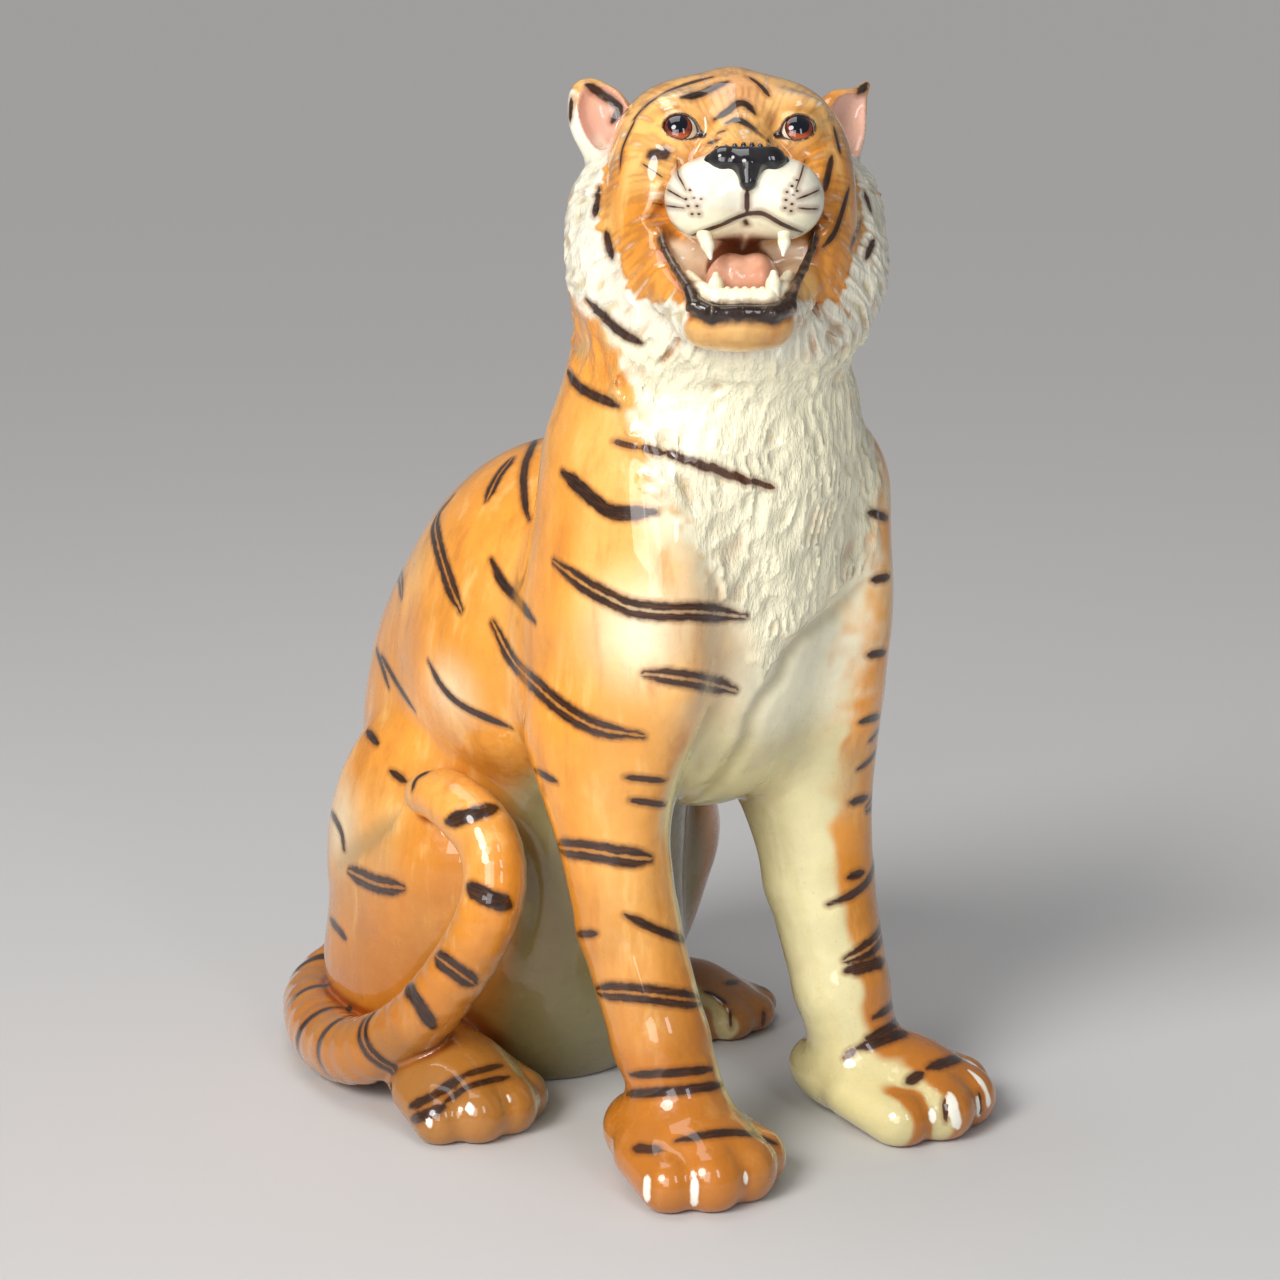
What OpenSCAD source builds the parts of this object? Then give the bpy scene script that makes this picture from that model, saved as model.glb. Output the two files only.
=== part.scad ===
// Seated tiger, a large glazed ceramic floor ornament, in millimetres.
// It sits on its rump facing -Y, its right side is -X, and +Z is up. The origin is the
// middle of the closing slab under the rump, on the floor.
// The hollow castings, the rolled tail and the pressed-in face pieces are luted together
// face to face before firing, so nothing on it moves.

/* [Castings] */
// Wall of the hollow castings
wall = 9; // [6:0.5:11]
// Room round a pressed-in eye or tooth
seat_gap = 0.3; // [0.1:0.05:0.6]

/* [Torso] */
// Width of the seat
seat_w = 244; // [220:1:270]
// Depth of the seat
seat_d = 252; // [230:1:280]
// Width of the rump between the haunches
rump_w = 233; // [210:1:260]
// Depth of the rump
rump_d = 332; // [310:1:350]
// Height of the rump
rump_h = 342; // [320:1:360]
// Width of the loin
loin_w = 241; // [220:1:270]
// Width of the rib cage
rib_w = 261; // [240:1:290]
// Depth of the rib cage along the tilted back
rib_d = 330; // [300:1:350]
// Width of the chest
chest_w = 260; // [236:1:284]
// Depth of the chest
chest_d = 239; // [216:1:260]
// Height of the middle of the chest above the floor
chest_z = 470; // [440:1:500]
// Distance of the middle of the chest ahead of the seat
chest_y = 222; // [200:1:240]
// Diameter of the neck where it leaves the chest
neck_base_d = 232; // [210:1:250]
// Diameter of the neck at the skull
neck_top_d = 190; // [176:1:206]
// Height of the skull's middle above the chest's middle
neck_rise = 271; // [250:1:290]

/* [Forelegs] */
// Distance between the upper forelegs
foreleg_gap = 194; // [176:1:210]
// Height of the elbow
elbow_z = 330; // [310:1:350]
// Diameter at the elbow
elbow_d = 116; // [104:1:128]
// Diameter below the elbow
forearm_d = 88; // [78:1:98]
// Diameter at the wrist
wrist_d = 76; // [66:1:86]
// How far the wrist stands ahead of the elbow
wrist_reach = 62; // [45:1:75]

/* [Paws] */
// Width of the right forepaw across its toes
forepaw_w = 122; // [110:1:134]
// How much wider the left forepaw spreads
left_paw_wider = 15; // [0:1:20]
// Width of a hind paw across its toes
hindpaw_w = 116; // [100:1:128]
// Outward turn of the left forepaw in degrees
left_splay = 15; // [5:1:20]
// Outward turn of the right forepaw in degrees
right_splay = 3; // [0:1:20]

/* [Haunches] */
// Width across both haunches
haunch_span = 308; // [290:1:330]
// Length of a haunch from knee to hip
haunch_l = 236; // [216:1:256]
// Height of a haunch
haunch_h = 296; // [276:1:316]
// Diameter of the knee
knee_d = 100; // [88:1:112]
// Diameter of the hock
hock_d = 76; // [64:1:88]
// Distance between the hind paws
hindpaw_gap = 304; // [290:1:320]

/* [Tail] */
// Diameter of the tail near its root
tail_root_d = 61; // [54:1:68]
// Diameter of the tail at its tip
tail_tip_d = 42; // [34:1:50]

/* [Head] */
// Turn of the head to the tiger's right in degrees
head_turn = 36; // [25:1:45]
// Lift of the face in degrees
head_lift = 27; // [18:1:34]
// Width of the skull
skull_w = 162; // [150:1:174]
// Length of the skull
skull_l = 176; // [160:1:190]
// Height of the skull
skull_h = 120; // [110:1:132]
// Width across the muzzle pads
muzzle_w = 114; // [104:1:124]
// Reach of the muzzle ahead of the skull's middle
muzzle_reach = 126; // [116:1:134]
// Width across the ruff
ruff_w = 234; // [216:1:250]
// Width of an ear
ear_w = 58; // [50:1:68]
// Height of an ear
ear_h = 84; // [74:1:94]
// Thickness of an ear
ear_t = 30; // [26:1:40]

/* [Face pieces] */
// Distance between the eyes' middles
eye_gap = 84; // [78:1:90]
// Diameter of an eye
eye_d = 35; // [30:1:38]
// Width of the nose pad
nose_w = 61; // [52:1:68]
// Height of the nose pad
nose_h = 32; // [26:1:38]
// Length of an upper fang with its root
upper_fang_l = 32; // [26:1:38]
// Length of a lower fang with its root
lower_fang_l = 28; // [22:1:34]
// Diameter of a fang at its root
fang_d = 11; // [8:0.5:13]
// Width of the lower jaw at the chin
chin_w = 76; // [66:1:84]
// Drop of the open jaw below the skull's middle
jaw_drop = 136; // [128:1:142]
// Width of the tongue
tongue_w = 54; // [44:1:60]
// Length of the tongue
tongue_l = 84; // [70:1:92]

/* [Base] */
// Thickness of the closing slab
base_t = 10; // [8:0.5:16]
// Diameter of the kiln vent in the slab
vent_d = 30; // [16:1:40]

/* [Hidden] */

right = -1;
left = 1;
level = [0, 0, 0];
body_sides = 26;
limb_sides = 22;
head_sides = 18;
toe_sides = 12;
tooth_sides = 8;
far = 2000;

orange = "#d98a3a";
cream = "#efe3c4";
pink = "#d9a08c";
ivory = "#f4ecd6";
black = "#1a1512";
amber = "#8a3d1c";
clay = "#cdbf9f";

// A lump of clay is [middle, half sizes, tilt, sides]
function lump(at, half, tilt = level, sides = body_sides) = [at, half, tilt, sides];
function knob(at, d, sides = body_sides) = lump(at, [d, d, d] / 2, level, sides);
function shift(l, by) = lump(l[0] + by, l[1], l[2], l[3]);

module clay_lump(l, inset)
    translate(l[0]) rotate(l[2]) scale([for (h = l[1]) max(h - inset, 1)]) sphere(r = 1, $fn = l[3]);

// Each link draws one smooth skin over the lumps it names
module clay_form(links, inset = 0)
    for (link = links) hull() for (l = link) clay_lump(l, inset);

module below_floor() translate([-far, -far, -2 * far]) cube(2 * far);

// Torso, from the seat on the floor up to the neck
seat_z = 80;
seat_half_h = 125;
rump_y = 5;
rump_z = 168;
loin_y = -1;
loin_z = 294;
loin_half = [loin_w / 2, 152, 192];
loin_tilt = [17, 0, 0];
rib_y = -85;
rib_z = 389;
rib_half = [rib_w / 2, rib_d / 2, 144];
rib_tilt = [2, 0, 0];
chest_back = 14;
chest_sink = 16;
chest_half = [chest_w / 2, chest_d / 2, 149];
withers_back = 46;
withers_rise = 16;
withers_half = [93, 71, 65];
bib_ahead = 46;
bib_rise = 76;
bib_narrower = 22;
bib_half = [chest_w / 2 - bib_narrower, 77, 122];
brisket_back = 8;
brisket_drop = 142;
brisket_half = [101, 83, 89];
flank_at = [96, -78, 360];
flank_half = [44, 101, 84];
withers_side = [83, -6, 49];
withers_side_half = [53, 81, 99];
neck_x = -4;
neck_base_ahead = 11;
neck_base_rise = 96;
neck_base_half = [neck_base_d / 2, neck_base_d / 2 - 2, neck_base_d / 2 - 9];
neck_top_x = -17;
neck_top_ahead = 29;
neck_top_drop = 51;
neck_top_half = [neck_top_d / 2, neck_top_d / 2 + 6, neck_top_d / 2];
skull_ahead = 42;
skull_x = -14;
skull_y = -chest_y - skull_ahead;
skull_z = chest_z + neck_rise;

seat = lump([0, 0, seat_z], [seat_w / 2, seat_d / 2, seat_half_h]);
rump = lump([0, rump_y, rump_z], [rump_w / 2, rump_d / 2, rump_h - rump_z]);
loin = lump([0, loin_y, loin_z], loin_half, loin_tilt);
ribs = lump([0, rib_y, rib_z], rib_half, rib_tilt);
chest = lump([0, chest_back - chest_y, chest_z - chest_sink], chest_half);
withers = lump([0, withers_back - chest_y, chest_z + withers_rise], withers_half);
bib = lump([0, -chest_y - bib_ahead, chest_z + bib_rise], bib_half);
brisket = lump([0, brisket_back - chest_y, chest_z - brisket_drop], brisket_half);
function flank(side) = lump([side * flank_at[0], flank_at[1], flank_at[2]], flank_half);
function shoulder_top(side) =
    lump([side * withers_side[0], withers_side[1] - chest_y, chest_z + withers_side[2]], withers_side_half);
neck_base = lump([neck_x, -chest_y - neck_base_ahead, chest_z + neck_base_rise], neck_base_half);
neck_top = lump([neck_top_x, -chest_y - neck_top_ahead, skull_z - neck_top_drop], neck_top_half);
torso_links = [
    [seat, rump], [rump, loin], [loin, ribs], [ribs, withers], [withers, chest], [chest, bib],
    [chest, brisket], [chest, neck_base], [neck_base, neck_top], [bib, neck_base],
    [flank(right)], [flank(left)], [shoulder_top(right)], [shoulder_top(left)]
];

// The neck is cut where the head casting is luted on
neck_cut_drop = 78;
neck_cut_back = 14;
neck_cut_lean = 16;

module head_side(above)
    translate([0, skull_y + neck_cut_back, skull_z - neck_cut_drop])
        rotate([neck_cut_lean, 0, -head_turn / 2])
            translate([-far, -far, above ? 0 : -2 * far]) cube(2 * far);

module torso_skin(inset = 0) clay_form(torso_links, inset);

// The closing slab is let into the rim of the seat
function seat_rim(half) = half * sqrt(1 - pow(seat_z / seat_half_h, 2)) - wall * 0.7;
slab_points = [for (a = [0:10:350]) [seat_rim(seat_w / 2) * cos(a), seat_rim(seat_d / 2) * sin(a)]];
vent_y = 55;

module slab_plate() linear_extrude(base_t) polygon(slab_points);

module torso_shell()
    color(orange) difference() {
        torso_skin();
        torso_skin(wall);
        slab_plate();
        head_side(true);
        below_floor();
    }

module base_slab()
    color(clay) difference() {
        slab_plate();
        translate([0, vent_y, -1]) cylinder(d = vent_d, h = base_t + 2, $fn = 32);
    }

// A paw is drawn for a middle on the floor, a width and a turn
toe_places = [[-0.34, -0.27, 0.19], [-0.123, -0.4, 0.215], [0.123, -0.4, 0.215], [0.34, -0.27, 0.19]];

function turned(v, a) = [v[0] * cos(a) - v[1] * sin(a), v[0] * sin(a) + v[1] * cos(a), v[2]];
function paw_pad(at, w, turn) =
    lump(at + turned([0, 0.055, 0.27] * w, turn), [0.4, 0.56, 0.3] * w, [0, 0, turn], limb_sides);
function paw_toes(at, w, turn) = [
    for (t = toe_places)
        lump(at + turned([t[0], t[1], 0.8 * t[2]] * w, turn), [0.9, 1.3, 1.1] * t[2] * w,
            [0, 0, turn], toe_sides)
];
function paw_links(at, w, turn) = [
    for (toe = paw_toes(at, w, turn)) [toe, shift(toe, turned([0, 0.25, 0.06] * w, turn))]
];

// Forelegs with their shoulders
shoulder_ahead = 8;
shoulder_drop = 70;
shoulder_half = [54, 92, 160];
shoulder_tilt = [8, 0, 0];
elbow_ahead = 7;
elbow_x = foreleg_gap / 2;
elbow_y = -chest_y - elbow_ahead;
forearm_in = 3;
forearm_drop = 140;
wrist_in = 2;
wrist_y = elbow_y - wrist_reach;
wrist_z = 105;
ankle_ahead = 14;
ankle_z = 62;
left_paw_out = 17;
left_paw_ahead = 27;
right_paw_out = 4;
right_paw_ahead = 24;

function forepaw_at(side) = side == left ? [elbow_x + left_paw_out, wrist_y - left_paw_ahead, 0]
                                         : [-elbow_x - right_paw_out, wrist_y - right_paw_ahead, 0];
function fore_turn(side) = side == left ? left_splay : -right_splay;
function fore_w(side) = side == left ? forepaw_w + left_paw_wider : forepaw_w;
function shoulder(side) = lump([side * elbow_x, -chest_y - shoulder_ahead, chest_z - shoulder_drop],
    shoulder_half, shoulder_tilt, limb_sides);
function elbow(side) = knob([side * elbow_x, elbow_y, elbow_z], elbow_d, limb_sides);
function forearm(side) =
    knob([side * (elbow_x - forearm_in), (elbow_y + wrist_y) / 2, elbow_z - forearm_drop],
        forearm_d, limb_sides);
function wrist(side) = knob([side * (elbow_x - wrist_in), wrist_y, wrist_z], wrist_d, limb_sides);
function ankle(side) = knob([side * elbow_x, wrist_y - ankle_ahead, ankle_z], wrist_d, limb_sides);
function leg_links(side) = [
    [shoulder(side), elbow(side)], [elbow(side), forearm(side)], [forearm(side), wrist(side)],
    [wrist(side), ankle(side)]
];

module foreleg_skin(side) {
    clay_form(leg_links(side));
    clay_form([[ankle(side), paw_pad(forepaw_at(side), fore_w(side), fore_turn(side))]]);
    clay_form(paw_links(forepaw_at(side), fore_w(side), fore_turn(side)));
}

module foreleg(side)
    color(orange) difference() {
        foreleg_skin(side);
        clay_form(leg_links(side), wall);
        torso_skin();
        below_floor();
    }

module right_foreleg() foreleg(right);
module left_foreleg() foreleg(left);

// Haunches: the thigh, the knee and the hock under it
haunch_z = 170;
haunch_x = 92;
thigh_back = 4;
thigh_tilt = 6;
thigh_turn = 4;
spread_at = [102, 40, 74];
spread_half = [50, 84, 66];
knee_out = 10;
knee_ahead = 40;
knee_rise = 20;
hock_out = 12;
hock_back = 14;
hock_lift = 24;

function thigh(side) = lump([side * haunch_x, thigh_back, haunch_z],
    [haunch_span / 2 - haunch_x, haunch_l / 2, haunch_h / 2], [thigh_tilt, 0, -thigh_turn * side],
    limb_sides);
function spread(side) =
    lump([side * spread_at[0], spread_at[1], spread_at[2]], spread_half, level, limb_sides);
function knee(side) =
    knob([side * (haunch_x + knee_out), -knee_ahead, haunch_z + knee_rise], knee_d, limb_sides);
function hock(side) =
    knob([side * (haunch_x + hock_out), hock_back, hock_d / 2 + hock_lift], hock_d, limb_sides);
function haunch_links(side) = [
    [thigh(side)], [thigh(side), knee(side)], [knee(side), hock(side)], [thigh(side), spread(side)]
];

module haunch_skin(side, inset = 0) clay_form(haunch_links(side), inset);

module haunch(side)
    color(orange) difference() {
        haunch_skin(side);
        haunch_skin(side, wall);
        torso_skin();
        below_floor();
    }

module right_haunch() haunch(right);
module left_haunch() haunch(left);

// Hind feet
right_hind_turn = -2;
right_hind_ahead = 98;
left_hind_turn = 8;
left_hind_ahead = 54;
heel_from_paw = [16, 62, 38];
heel_d = 64;

function hindpaw_at(side) = [side * hindpaw_gap / 2, side == left ? -left_hind_ahead : -right_hind_ahead, 0];
function hindpaw_turn(side) = side == left ? left_hind_turn : right_hind_turn;
function heel(side) =
    knob(hindpaw_at(side) + [-side * heel_from_paw[0], heel_from_paw[1], heel_from_paw[2]],
        heel_d, limb_sides);

module hind_foot_skin(side) {
    clay_form([[heel(side), paw_pad(hindpaw_at(side), hindpaw_w, hindpaw_turn(side))]]);
    clay_form(paw_links(hindpaw_at(side), hindpaw_w, hindpaw_turn(side)));
}

module hind_foot(side)
    color(orange) difference() {
        hind_foot_skin(side);
        torso_skin();
        haunch_skin(side);
        below_floor();
    }

module right_hind_foot() hind_foot(right);
module left_hind_foot() hind_foot(left);

// Tail: out of the rump, round the right haunch on the floor, then up its front
behind_rump = [[0, -21, 62], [-48, 2, 42], [-102, -14, 32]];
beside_haunch = [
    [6, 92, 31], [-21, 34, 30], [-32, -22, 43], [-28, -72, 72], [-20, -112, 114], [-8, -142, 164],
    [4, -148, 206], [10, -130, 240], [8, -92, 262], [8, -56, 266], [8, -38, 262]
];
tail_route = concat(
    [for (at = behind_rump) at + [0, rump_d / 2, 0]],
    [for (at = beside_haunch) at - [haunch_span / 2, 0, 0]]
);
tail_steps = len(tail_route) - 1;
tail_even = 4;
tail_sides = 16;

function tail_thinning(i) = max(i - tail_even, 0) / (tail_steps - tail_even);
function tail_d(i) = tail_root_d + (tail_tip_d - tail_root_d) * tail_thinning(i);
function tail_knob(i) = knob(tail_route[i], tail_d(i), tail_sides);

module tail()
    color(orange) difference() {
        clay_form([for (i = [0:tail_steps - 1]) [tail_knob(i), tail_knob(i + 1)]]);
        torso_skin();
        haunch_skin(right);
        hind_foot_skin(right);
        below_floor();
    }

// Head: its own frame is the skull's middle, with the face towards -Y
module at_head()
    translate([skull_x, skull_y, skull_z])
        rotate([0, 0, -head_turn])
            rotate([-head_lift, 0, 0]) children();

function head_lump(at, half, tilt = level) = lump(at, half, tilt, head_sides);
function mirrored(l) = lump([-l[0][0], l[0][1], l[0][2]], l[1], [l[2][0], -l[2][1], -l[2][2]], l[3]);
function on_side(l, side) = side == left ? l : mirrored(l);

skull_at = [0, 20, 26];
brow_at = [0, -30, 30];
brow_half = [56, 48, 44];
temple_at = [44, 4, 41];
temple_half = [35, 54, 37];
cheek_in = 24;
cheek_half = [38, 50, 56];
jowl_in = 28;
jowl_half = [36, 52, 52];
bridge_top_at = [0, -52, 18];
bridge_top_d = 56;
bridge_end_d = 48;
bridge_end_back = 28;
bridge_end_drop = 26;
muzzle_back = 50;
muzzle_drop = 38;
muzzle_half = [44, 44, 32];
pad_half = [31, 34, 30];
pad_drop = 43;
eyebrow_in = 4;
eyebrow_half = [25, 18, 12];
ruff_top_half = [34, 42, 58];
ruff_side_half = [40, 46, 48];
ruff_low_half = [44, 44, 34];
ruff_low_in = 72;
throat_at = [0, 4, -122];
throat_half = [60, 55, 34];

skull = head_lump(skull_at, [skull_w, skull_l, skull_h] / 2);
brow = head_lump(brow_at, brow_half);
cheek = head_lump([skull_w / 2 - cheek_in, -20, -12], cheek_half);
jowl = head_lump([skull_w / 2 - jowl_in, 4, -58], jowl_half);
bridge_top = head_lump(bridge_top_at, [1, 1, 1] * bridge_top_d / 2);
bridge_end = head_lump([0, -muzzle_reach + bridge_end_back, -bridge_end_drop], [1, 1, 1] * bridge_end_d / 2);
muzzle = head_lump([0, -muzzle_reach + muzzle_back, -muzzle_drop], muzzle_half);
pad = head_lump([muzzle_w / 2 - pad_half[0], -muzzle_reach + pad_half[1], -pad_drop], pad_half);
eyebrow = head_lump([eye_gap / 2 - eyebrow_in, -60, 39], eyebrow_half, [0, 6, 0]);
temple = head_lump(temple_at, temple_half);
ruff_top = head_lump([ruff_w / 2 - ruff_top_half[0], 26, -20], ruff_top_half);
ruff_side = head_lump([ruff_w / 2 - ruff_side_half[0], 18, -66], ruff_side_half);
ruff_low = head_lump([ruff_w / 2 - ruff_low_in, 12, -108], ruff_low_half);
throat = head_lump(throat_at, throat_half);

head_middle_links = [[skull, brow], [bridge_top, bridge_end], [throat, skull]];
function head_side_links(side) = [
    [skull, on_side(cheek, side)],
    [on_side(temple, side)],
    [on_side(cheek, side), on_side(jowl, side)],
    [muzzle, on_side(pad, side)],
    [on_side(eyebrow, side)],
    [on_side(ruff_top, side), on_side(ruff_side, side)],
    [on_side(ruff_side, side), on_side(ruff_low, side)],
    [on_side(ruff_low, side), throat]
];

mouth_at = [0, -70, -102];
mouth_half = [46, 66, 35];
mouth = head_lump(mouth_at, mouth_half, [12, 0, 0]);
eye_y = -62;
eye_z = 16.5;

module head_skin() {
    clay_form(head_middle_links);
    clay_form(head_side_links(right));
    clay_form(head_side_links(left));
}

// The neck runs up into the skull, drawn in the part's own frame
module nape(inset = 0) {
    clay_form([[neck_base, neck_top]], inset);
    hull() {
        clay_lump(neck_top, inset);
        at_head() clay_lump(skull, inset);
    }
}

module eye_ball(side, grow = 0)
    translate([side * eye_gap / 2, eye_y, eye_z]) sphere(d = eye_d + 2 * grow, $fn = 32);

// Skin of the head and nape with the open mouth cut out of it
module head_block()
    difference() {
        union() {
            at_head() head_skin();
            nape();
        }
        at_head() clay_lump(mouth, 0);
    }

// The hollow keeps clear of the mouth and the eye sockets
head_extra = 12;
head_wall = wall + head_extra;

module head_shell()
    color(orange) difference() {
        head_block();
        nape(head_wall);
        at_head() for (side = [right, left]) eye_ball(side, seat_gap);
        at_head() upper_fangs(seat_gap);
        head_side(false);
    }

// Eyes are glazed balls let into their sockets
module right_eye() color(amber) at_head() eye_ball(right);
module left_eye() color(amber) at_head() eye_ball(left);

// Nose pad: a wide top edge that narrows down to the split lip
nose_sunk = 6;
nose_drop = 32;
wing_half = [9, 12, 9];
wing_back = 8;
wing_rise = 6;
tip_half = [12, 10, 8];
tip_ahead = 2;
stem_half = [14, 11, 9];
stem_rise = 4;
split_half = [6, 8, 6];
nose_y = -muzzle_reach + nose_sunk;
wing = head_lump([nose_w / 2 - wing_half[0], nose_y + wing_back, wing_rise - nose_drop], wing_half);
tip = head_lump([0, nose_y - tip_ahead, nose_h / 2 - wing_half[2] - nose_drop], tip_half);
stem = head_lump([0, nose_y, stem_rise - nose_drop], stem_half);
split = head_lump([0, nose_y + tip_ahead, -nose_h / 2 + split_half[2] - nose_drop], split_half);
nose_links = [[wing, mirrored(wing), tip], [stem, split]];

module nose_pad()
    color(black) difference() {
        at_head() clay_form(nose_links);
        head_block();
    }

// Lower jaw, hinged down from the cheeks
jaw_root_at = [48, -18, 38];
jaw_root_half = [24, 24, 24];
jaw_side_in = 12;
jaw_side_rise = 4;
jaw_side_half = [20, 20, 20];
chin_ahead = 78;
chin_half = [chin_w / 2, 24, 20];
jaw_floor_at = [0, -30, 12];
jaw_floor_half = [40, 40, 18];
bed_at = [0, -60, 32];
bed_half = [chin_w / 2 - 2, 56, 22];
tongue_lean = [14, 0, 0];
jaw_base = [0, 0, -jaw_drop];
jaw_root = head_lump(jaw_root_at + jaw_base, jaw_root_half);
jaw_side = head_lump([chin_w / 2 - jaw_side_in, -70, jaw_side_rise - jaw_drop], jaw_side_half);
chin = head_lump([0, -chin_ahead, -jaw_drop], chin_half);
jaw_floor = head_lump(jaw_floor_at + jaw_base, jaw_floor_half);
tongue_bed = head_lump(bed_at + jaw_base, bed_half, tongue_lean);
jaw_links = [
    [jaw_root, jaw_side], [mirrored(jaw_root), mirrored(jaw_side)], [jaw_side, chin],
    [mirrored(jaw_side), chin], [chin, jaw_floor], [jaw_floor, jaw_root], [jaw_floor, mirrored(jaw_root)]
];

module jaw_block()
    difference() {
        clay_form(jaw_links);
        clay_lump(tongue_bed, 0);
    }

module lower_jaw()
    color(cream) difference() {
        at_head() jaw_block();
        head_block();
        at_head() lower_fangs(seat_gap);
        head_side(false);
    }

// Tongue lies on the bed of the jaw
tongue_back_at = [0, -44, 22];
tongue_back_half = [tongue_w / 2, tongue_l / 2 - 8, 14];
tongue_tip_at = [0, -52, 18];
tongue_tip_half = [tongue_w / 2 - 3, tongue_l / 2 - 12, 12];
tongue_links = [
    [head_lump(tongue_back_at + jaw_base, tongue_back_half, tongue_lean),
     head_lump(tongue_tip_at + jaw_base, tongue_tip_half, tongue_lean)]
];

module tongue()
    color(pink) difference() {
        at_head() clay_form(tongue_links);
        at_head() jaw_block();
        head_block();
    }

// Fangs: round tapered teeth whose roots sit in the castings
upper_foot = [29, -98, -58];
lower_foot = [25, -84, 6];

function fang_foot(upper, side) = upper ? [side * upper_foot[0], upper_foot[1], upper_foot[2]]
                                        : [side * lower_foot[0], lower_foot[1], lower_foot[2] - jaw_drop];

module fang(upper, side, grow = 0)
    translate(fang_foot(upper, side))
        rotate([upper ? 186 : -6, 0, 0])
            cylinder(d1 = fang_d + 2 * grow, d2 = fang_d * 0.28 + 2 * grow,
                h = upper ? upper_fang_l : lower_fang_l, $fn = 32);

module upper_fangs(grow) for (side = [right, left]) fang(true, side, grow);
module lower_fangs(grow) for (side = [right, left]) fang(false, side, grow);

module upper_right_fang() color(ivory) at_head() fang(true, right);
module upper_left_fang() color(ivory) at_head() fang(true, left);
module lower_right_fang() color(ivory) at_head() fang(false, right);
module lower_left_fang() color(ivory) at_head() fang(false, left);

// A row of small teeth between the lower fangs
incisor_count = 6;
incisor_d = 5;
incisor_tip_d = 4;
incisor_l = 12;
incisor_pitch = 5.75;
incisor_ahead = 90;
incisor_rise = 10;

module incisor()
    hull() {
        sphere(d = incisor_d, $fn = tooth_sides);
        translate([0, 0, incisor_l]) sphere(d = incisor_tip_d, $fn = tooth_sides);
    }

module lower_incisors()
    color(ivory) at_head() difference() {
        for (i = [0:incisor_count - 1])
            translate([(i - (incisor_count - 1) / 2) * incisor_pitch, -incisor_ahead, 0])
                translate([0, 0, incisor_rise - jaw_drop]) incisor();
        jaw_block();
    }

// Ears: a cupped leaf on each side of the crown
right_ear_at = [-86, 24, 56];
right_ear_lean = [0, -34, 10];
left_ear_at = [90, 28, 58];
left_ear_lean = [0, 34, 50];
ear_root_at = [72, 30, 34];
ear_root_half = [26, 18, 22];
ear_cup_depth = 16;
ear_cup_rim = 5;
ear_cup_t = 18;
ear_half = [ear_w, ear_t, ear_h] / 2;
ear_cup_half = [ear_half[0] - ear_cup_rim, ear_cup_t, ear_half[2] - ear_cup_rim];
ear_root = head_lump(ear_root_at, ear_root_half);

module ear_place(side)
    translate(side == left ? left_ear_at : right_ear_at)
        rotate([0, 0, side == left ? left_ear_lean[2] : right_ear_lean[2]])
            rotate([0, side == left ? left_ear_lean[1] : right_ear_lean[1], 0]) children();

module ear(side)
    color(orange) difference() {
        at_head() hull() {
            ear_place(side) clay_lump(head_lump([0, 0, 0], ear_half), 0);
            clay_lump(on_side(ear_root, side), 0);
        }
        at_head() ear_place(side) clay_lump(head_lump([0, -ear_cup_depth, 0], ear_cup_half), 0);
        head_block();
    }

module right_ear() ear(right);
module left_ear() ear(left);

torso_shell();
base_slab();
right_foreleg();
left_foreleg();
right_haunch();
left_haunch();
right_hind_foot();
left_hind_foot();
tail();
head_shell();
lower_jaw();
tongue();
nose_pad();
right_ear();
left_ear();
right_eye();
left_eye();
upper_right_fang();
upper_left_fang();
lower_right_fang();
lower_left_fang();
lower_incisors();
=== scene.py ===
import math

import bpy
import numpy as np
from mathutils import Matrix, Vector


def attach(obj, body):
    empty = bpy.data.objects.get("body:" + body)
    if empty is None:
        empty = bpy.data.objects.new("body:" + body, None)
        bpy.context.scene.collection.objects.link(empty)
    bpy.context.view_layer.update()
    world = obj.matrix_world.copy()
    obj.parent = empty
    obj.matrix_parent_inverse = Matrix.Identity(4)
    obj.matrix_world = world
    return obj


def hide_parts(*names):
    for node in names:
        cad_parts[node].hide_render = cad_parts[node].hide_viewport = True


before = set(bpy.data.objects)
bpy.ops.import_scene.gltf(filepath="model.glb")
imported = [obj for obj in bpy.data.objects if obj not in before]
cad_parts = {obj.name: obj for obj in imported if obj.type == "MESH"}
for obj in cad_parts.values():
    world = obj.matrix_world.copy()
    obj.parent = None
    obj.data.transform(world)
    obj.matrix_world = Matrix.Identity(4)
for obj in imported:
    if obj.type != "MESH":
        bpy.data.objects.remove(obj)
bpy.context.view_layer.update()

# The statue is shaped as signed-distance clay in millimetres, in the CAD frame: +Z up, the body
# faces -Y and its right side is -X. Its lumps follow the CAD's, and smooth unions melt them together.
F = np.float32
MM = 0.001
FAR = 90.0  # distance given outside a part's box
# Grid steps of the skins
BODY_STEP, HEAD_STEP, SMALL_STEP = ((2.4, 1.5, 0.9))
RIGHT, LEFT = -1, 1
NAMED = {RIGHT: "right", LEFT: "left"}


# Clay tools

def turn(yaw=0.0, pitch=0.0, roll=0.0):
    """Rotation about Z (yaw), then X (pitch), then Y (roll), in degrees."""
    y, p, r = np.radians([yaw, pitch, roll])
    rz = np.array([[np.cos(y), -np.sin(y), 0], [np.sin(y), np.cos(y), 0], [0, 0, 1]])
    rx = np.array([[1, 0, 0], [0, np.cos(p), -np.sin(p)], [0, np.sin(p), np.cos(p)]])
    ry = np.array([[np.cos(r), 0, np.sin(r)], [0, 1, 0], [-np.sin(r), 0, np.cos(r)]])
    return (rz @ rx @ ry).astype(F)


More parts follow.
